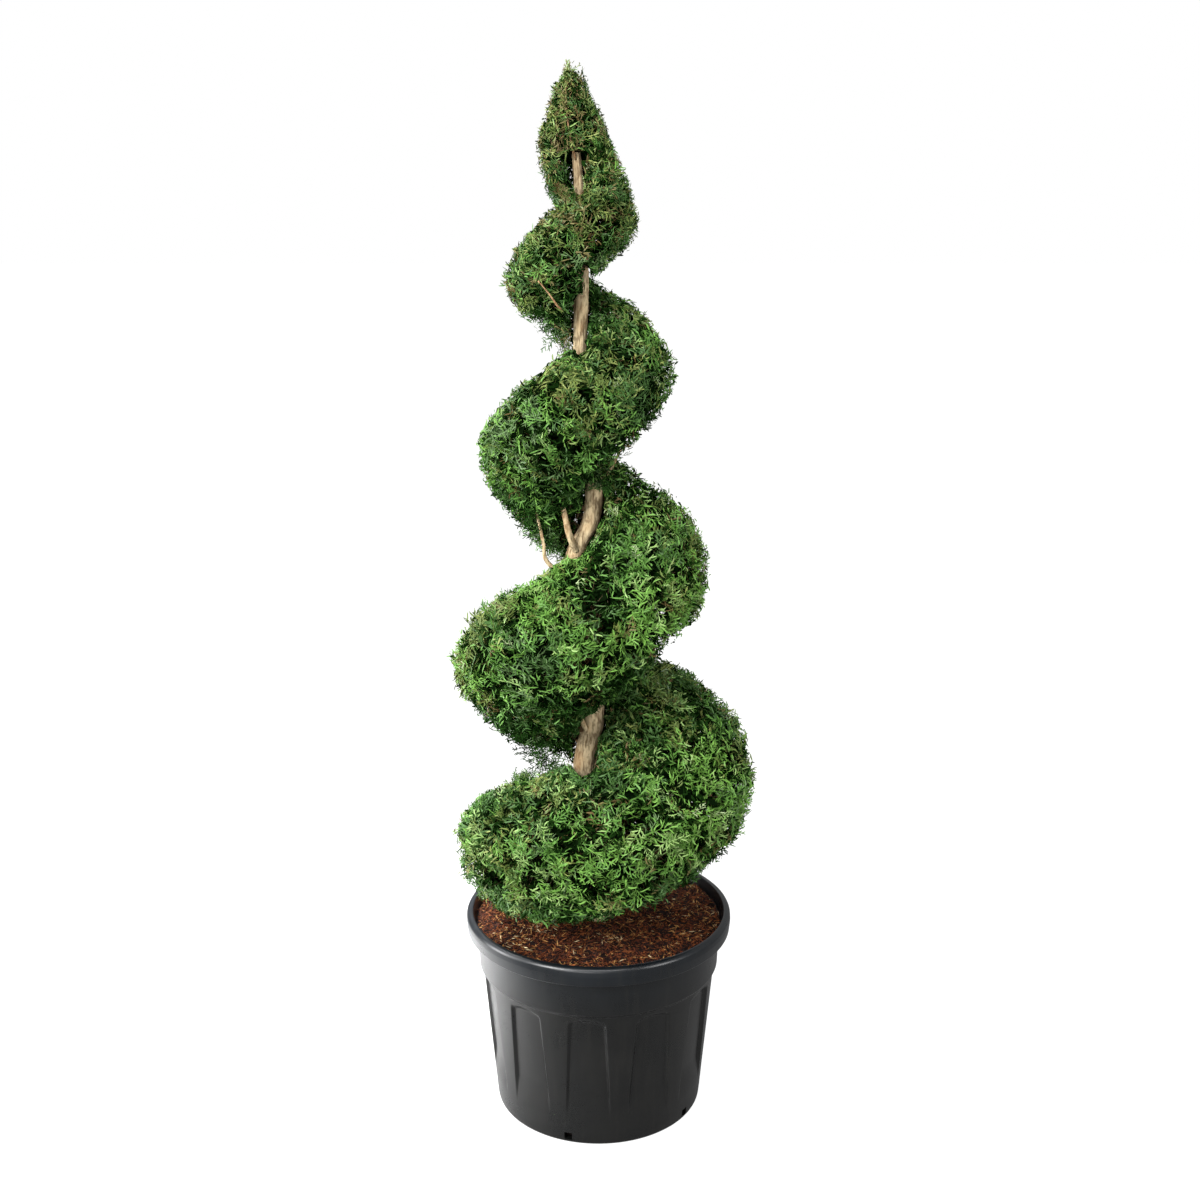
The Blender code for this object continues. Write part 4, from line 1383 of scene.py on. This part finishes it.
def clusterSpots(rng):
    # spots on the coil's surface and on the cone of the top tuft, with the way out and size at each
    turns, slopes = surfaceSpots(foliage["spacing"], rng)
    reach = coilRadius(turns)
    surface = coilSurface(turns, slopes, np.zeros(len(turns)))
    out = unit(surface - coilSurface(turns, slopes, 0.02 + 0.05 * reach))
    count = tuft["clusters"]
    share = (np.arange(count) + 0.5) / count
    height = tuft["low"] + (plantTop - tuft["tipRoom"] - tuft["low"]) * share
    goldenAngle = np.pi * (3 - math.sqrt(5))
    angle = np.arange(count) * goldenAngle
    cone = roundUpright(tuftRadius(height, -np.sin(angle)), angle, height, axisX(height))
    tuftOut = unit(roundUpright(1.0, angle, 0.55 + smoothStep(1.86, 1.90, height)))
    inner = coilDepth(surface) < foliage["buried"]
    small = foliage["smallest"]
    size = small + (1 - small) * np.clip(reach[inner] / foliage["fullRadius"], 0, 1)
    surface = np.concatenate([surface[inner], cone])
    out = np.concatenate([out[inner], tuftOut])
    return surface, out, np.concatenate([size, np.full(count, tuft["size"])])


def hueAt(spots, hue, rng):
    # patches of hue that drift over the surface
    (wide, wideSeed), (narrow, narrowSeed), weight, stray = hues[hue]
    patches = airNoise(spots, wide, wideSeed) + weight * airNoise(spots, narrow, narrowSeed)
    return patches + rng.normal(0, stray, len(spots))


def coverOf(surface, out):
    # how much of the coil is over a cluster, as a share, and how far the cluster faces down; it places the
    # painted shade of the tints
    covered = np.zeros(len(surface))
    for way in foliage["coverWays"]:
        for step in foliage["coverSteps"]:
            above = surface + out * foliage["coverOut"] + unit(np.array(way)) * foliage["coverStep"] * step
            covered += coilDepth(above) > foliage["coverDepth"]
    share = covered / (len(foliage["coverWays"]) * len(foliage["coverSteps"]))
    sheltered = 0.55 + 0.45 * smoothStep(*foliage["shelterHeights"], surface[:, 2])
    return share * sheltered + foliage["underside"] * smoothStep(-0.15, -0.70, out[:, 2])


def dealTints(surface, out, size, owner, deep, rng):
    # a tint for each spray by its hue, height and a draw, with painted shade: darker tints deep inside,
    # under overhangs and on undersides
    spot = surface[owner]
    found = [hueAt(spot, hue, rng) for hue in hues]
    z = spot[:, 2]
    zones = {zone: smoothStep(start, full, z) for zone, (start, full) in zoneHeights.items()}
    zones["top"] = zones["top"] * (0.45 + 0.55 * smoothStep(0.0, -0.03, spot[:, 0] - axisX(z)))
    draw = rng.uniform(0, 1, len(owner))
    names = np.full(len(owner), "leafGreen", dtype=object)
    for name, *needed, (start, end), more, zone in tintRules:
        chosen = (draw > start) & (draw < end + more * zones[zone])
        for hue, (low, high) in zip(found, needed):
            chosen &= (hue > low) & (hue < high)
        names[chosen] = name
    names[draw > rusty["from"] - rusty["more"] * zones["top"]] = "leafRusty"
    covered = coverOf(surface, out)[owner] + rng.uniform(-0.12, 0.12, len(owner))
    # painted shade: sprays under overhangs and on undersides get darker tints, and sprays deep inside the
    # darkest
    names[(covered > foliage["deepCover"]) & (draw < 0.8)] = "leafDeep"
    names[(covered > foliage["shadeCover"]) & (draw < 0.5)] = "leafDusk"
    names[(deep > foliage["shadeFrom"] * size[owner]) & (draw < 0.96)] = "leafShade"
    return names


def growHangings(templates, rng):
    # see-through sprays that hang loose at the coil's edges
    found = []
    names = []
    for begin, end, spread, count, aim, size, kinds in hangings.values():
        share = rng.uniform(0, 1, (count, 1))
        bases = np.array(begin) * (1 - share) + np.array(end) * share
        bases = bases + rng.normal(0, spread, (count, 3)) * foliage["hangingSpread"]
        ways = unit(rng.normal(0, 1, (count, 3)) + np.array(aim))
        lengths = spray["length"] * size * rng.uniform(*foliage["hangingSize"], count)
        which = rng.integers(0, len(templates), count)
        rolls = rng.uniform(0, 2 * np.pi, count)
        bases = bases - ways * lengths[:, None] * foliage["hangingHeld"]
        strokes, owners = growSprays(bases, ways, rolls, lengths, templates, which)
        dealt = np.array(kinds, dtype=object)[rng.integers(0, len(kinds), count)]
        kept = rng.uniform(0, 1, len(strokes)) < foliage["hangingKept"]
        kept &= clearOfLimbs(strokes).all(axis=1)
        kept &= (strokes[..., 2] < plantTop - foliage["tipRoom"]).all(axis=1)
        found.append(strokes[kept])
        names.append(dealt[owners[kept]])
    return np.concatenate(found), np.concatenate(names)


def clipSprays(strokes, shaded, rng):
    # which strokes the shears left: the surface has clumps and hollows, and a few tips stand proud
    tips = strokes[:, 5]
    clumps = airNoise(tips, foliage["clumpSize"], 21)
    hollow = np.maximum(clumps - foliage["hollowFrom"], foliage["hollowLeast"])
    fine = foliage["fineRelief"] * airNoise(tips, foliage["fineSize"], 22)
    slim = np.clip(coneRadius(tips[:, 2]) / foliage["fullRadius"], foliage["slimLeast"], 1)
    clipped = (foliage["clumpRelief"] * 2 * hollow + fine) * slim + shearCut(tips)
    slack = foliage["standProud"] * rng.uniform(0, 1.0, len(tips)) ** 3
    kept = (coilDepth(tips) > clipped - slack) & (coilDepth(strokes[:, 0]) > clipped * 0.5)
    kept &= clearOfLimbs(strokes[:, (0, 1, 3, 5)]).all(axis=1)
    return kept & (~shaded | (rng.uniform(0, 1, len(shaded)) < foliage["shadeShare"]))


def broaden(strokes, shaded):
    # the few strokes left deep inside are broader, to hide as much
    for pair in ((1, 2), (3, 4)):
        middle = strokes[shaded][:, pair].mean(axis=1, keepdims=True)
        broad = middle + (strokes[shaded][:, pair] - middle) * foliage["shadeWidth"]
        strokes[np.flatnonzero(shaded)[:, None], np.array(pair)[None]] = broad


def growNight(surface, out, size, rng):
    # painted shade for the dark inside: broad near-black sprays well under the surface
    blades = foliage["nightBlades"]
    spot = rng.integers(0, len(surface), blades)
    depth = rng.uniform(*foliage["nightDepth"], blades) * size[spot]
    middle = surface[spot] - out[spot] * depth[:, None] + rng.normal(0, foliage["nightStray"], (blades, 3))
    aim = unit(rng.normal(0, 1, (blades, 3)) - 0.6 * out[spot])
    span = foliage["nightLength"] * (size**1.6)[spot][:, None] * rng.uniform(0.7, 1.2, (blades, 1))
    across = unit(np.cross(aim, out[spot] + rng.normal(0, 0.35, (blades, 3))))
    night = scaleStrips(middle - aim * span / 2, aim * span, across * span * foliage["nightWidth"])
    inside = (coilDepth(night) > foliage["nightUnder"] + shearCut(night)).all(axis=1)
    return night[inside & clearOfLimbs(night).all(axis=1)]


def makeLeaves(strokes, names):
    # the strips of each tint, in pieces from low to high; returns how many triangles there are
    made = 0
    for name, shade in tints.items():
        shine = 0.0 if name in foliage["unlit"] else 0.25
        look = {"Base Color": shade, "Roughness": 0.5, "Specular IOR Level": shine}
        leaf = Finish(name + "Scales", look)
        picked = strokes[names == name]
        order = np.argsort(picked[:, 5, 2])
        for number, part in enumerate(np.array_split(order, 1 + len(picked) // foliage["pieceStrokes"])):
            faces = repeatFaces(stripFaces, len(part), 6)
            corners = picked[part].reshape(-1, 3)
            makePiece(f"{name}{number + 1}", corners, [faces], leaf, "foliage_green", foliageNodes, False)
            made += len(faces)
            print("  ", name, number + 1, len(faces), "triangles")
    return made


def buildFoliage():
    rng = np.random.default_rng(foliage["seed"])
    templates = []
    for k in range(spray["templates"]):
        own = np.random.default_rng(spray["seed"] + k)
        templates.append(sprayStrokes(sprayTemplate(own), own))
    surface, out, size = clusterSpots(rng)
    total = len(surface) * foliage["spraysEach"]
    owner = np.repeat(np.arange(len(surface)), foliage["spraysEach"])
    sunk = rng.uniform(*foliage["rootDepth"], total) * size[owner]
    short = foliage["shortest"]
    lengths = spray["length"] * (short + (1 - short) * size[owner]) * rng.uniform(0.75, 1.1, total)
    upright = np.clip(sunk / lengths * rng.uniform(0.8, 1.25, total), 0.02, 0.97)
    aside = rng.normal(0, 1, (total, 3)) + np.array([0.0, 0.0, 0.45])
    aside = aside - (aside * out[owner]).sum(-1, keepdims=True) * out[owner]
    ways = out[owner] * upright[:, None] + unit(aside) * np.sqrt(1 - upright**2)[:, None]
    bases = surface[owner] - out[owner] * sunk[:, None] - ways * (lengths * foliage["rootShare"])[:, None]
    middle = bases + ways * (lengths * foliage["tintShare"])[:, None]
    names = dealTints(surface, out, size, owner, coilDepth(middle), rng)

    # the painted glints grow as shorter sprays
    lengths = np.where(names == "leafPale", 0.6, 1.0) * lengths
    rolls = rng.uniform(0, 2 * np.pi, total)
    which = rng.integers(0, len(templates), total)
    strokes, owners = growSprays(bases, ways, rolls, lengths, templates, which)
    shaded = names[owners] == "leafShade"
    kept = clipSprays(strokes, shaded, rng)
    strokes = strokes[kept]
    broaden(strokes, shaded[kept])
    hanging, hangingNames = growHangings(templates, rng)
    night = growNight(surface, out, size, rng)
    strokes = np.concatenate([strokes, hanging, night])
    nightNames = np.full(len(night), "leafNight", dtype=object)
    made = makeLeaves(strokes, np.concatenate([names[owners[kept]], hangingNames, nightNames]))
    print("foliage made:", len(surface), "clusters,", total, "sprays,", made, "triangles")
    root = surface - out * (foliage["rootDepth"][1] * size**1.6)[:, None]
    return root, bases + ways * (lengths * 0.5)[:, None], owner


def threeRound(ways):
    # three directions spread evenly round each way
    side = unit(np.cross(ways, np.array([0.2, 0.1, 0.97])))
    other = np.cross(side, ways)
    angles = 2 * math.pi * np.arange(3) / 3
    return [math.cos(angle) * side + math.sin(angle) * other for angle in angles]


def buildStalks(start, end):
    # short stalks: a three-sided spike from each cluster's root towards its spray
    brown = Finish("twigBrown", {"Base Color": twigs["brown"], "Roughness": 0.85})
    ring = [start + twigs["stalkRadius"] * spoke for spoke in threeRound(unit(end - start))]
    points = np.stack([*ring, end], 1)
    kept = (coilDepth(end) > twigs["stalkDepth"] + shearCut(end)) & clearOfLimbs(points).all(axis=1)
    kept &= np.random.default_rng(twigs["seed"]).uniform(0, 1, len(kept)) < twigs["stalkShare"]
    faces = repeatFaces(np.array([[0, 1, 3], [1, 2, 3], [2, 0, 3], [2, 1, 0]]), kept.sum(), 4)
    makePiece("twigStalks", points[kept].reshape(-1, 3), [faces], brown, "bark", foliageNodes, False)
    print("stalks made:", int(kept.sum()))


def buildInnerBoughs(bark):
    # from the trunk out and up to the coil's heart, one every short stretch of coil; returns the heart
    turns = np.arange(coil["start"] + 0.25, coil["end"] - 0.1, twigs["heartStep"])
    reaches = coilRadius(turns)
    heart = coilSurface(turns, np.zeros(len(turns)), reaches * twigs["heartDepth"])
    heart[:, 2] = np.minimum(coilHeight(turns), plantTop - 0.10)
    parts = []
    rng = np.random.default_rng(twigs["seed"])
    count = twigs["innerSteps"]
    steps = np.linspace(0, 1, count)[:, None]
    sag = np.array([0.0, 0.0, twigs["innerSag"]])
    thin, thicker = twigs["innerThick"]
    for place, reach in zip(heart, reaches):
        foot = place[2] - reach * rng.uniform(*twigs["innerDrop"]) - 0.01
        foot = np.clip(foot, trunkFoot + 0.05, trunkTop - 0.01)
        begin = np.array([trunkAt(foot)[0], 0.0, foot])
        route = begin + (place - begin) * steps - sag * reach * np.sin(np.pi * steps)
        thick = (thin + thicker * reach) * rng.uniform(*twigs["innerVaries"])
        if place[2] < twigs["highest"] and clearOfLimbs(route[1:]).all():
            radii = np.linspace(thick, thick * twigs["innerTaper"], count)
            parts.append(tube(route, radii, twigs["innerSides"]))
    makePiece("innerBoughs", *joinParts(parts), bark, "bark", foliageNodes)
    return heart


def buildShownTwigs():
    # the twigs that show: the leader and two bare ones in front
    count = twigs["shownSteps"]
    parts = [
        tube(routeThrough(line["route"], count), np.linspace(*line["radii"], count), twigs["shownSides"])
        for line in twigs["shown"].values()
    ]
    makePiece("shownTwigs", *joinParts(parts), barkFinish("barkTwigTan"), "bark", foliageNodes)


def buildFeedingTwigs(heart, root, bark):
    # three-sided twigs from the nearest heart to each cluster's root
    start = heart[np.argmin(np.linalg.norm(root[:, None] - heart[None], axis=-1), axis=1)]
    count = len(twigs["feedRadii"])
    steps = np.linspace(0, 1, count)[None, :, None]
    route = start[:, None] + (root - start)[:, None] * steps
    route[:, 1:-1, 2] -= twigs["feedSag"]
    thick = np.array(twigs["feedRadii"])[None, :, None]
    rings = [route + thick * spoke[:, None] for spoke in threeRound(unit(root - start))]
    points = np.stack(rings, 2).reshape(len(start), -1, 3)
    kept = clearOfLimbs(points[:, 3:]).all(axis=1)
    kept &= (coilDepth(route[:, 1:]) > shearCut(route[:, 1:])).all(axis=1)
    kept &= root[:, 2] < twigs["highest"] + 0.04
    made, corners = kept.sum(), 3 * count
    sides = repeatFaces(gridFaces(count, 3), made, corners)
    ends = repeatFaces(np.array([[2, 1, 0], [corners - 3, corners - 2, corners - 1]]), made, corners)
    makePiece("twigsFeeding", points[kept].reshape(-1, 3), [sides, ends], bark, "bark", foliageNodes, False)
    print("feeding twigs made:", int(made))


def buildTwigs(root, sprayMiddles, owner):
    buildStalks(root[owner], sprayMiddles)
    bark = barkFinish("barkInnerShadedBrown")
    heart = buildInnerBoughs(bark)
    buildShownTwigs()
    buildFeedingTwigs(heart, root, bark)


buildStage()
buildPot()
buildMulchBed()
buildChips()
buildLimbs()
buildTwigs(*buildFoliage())
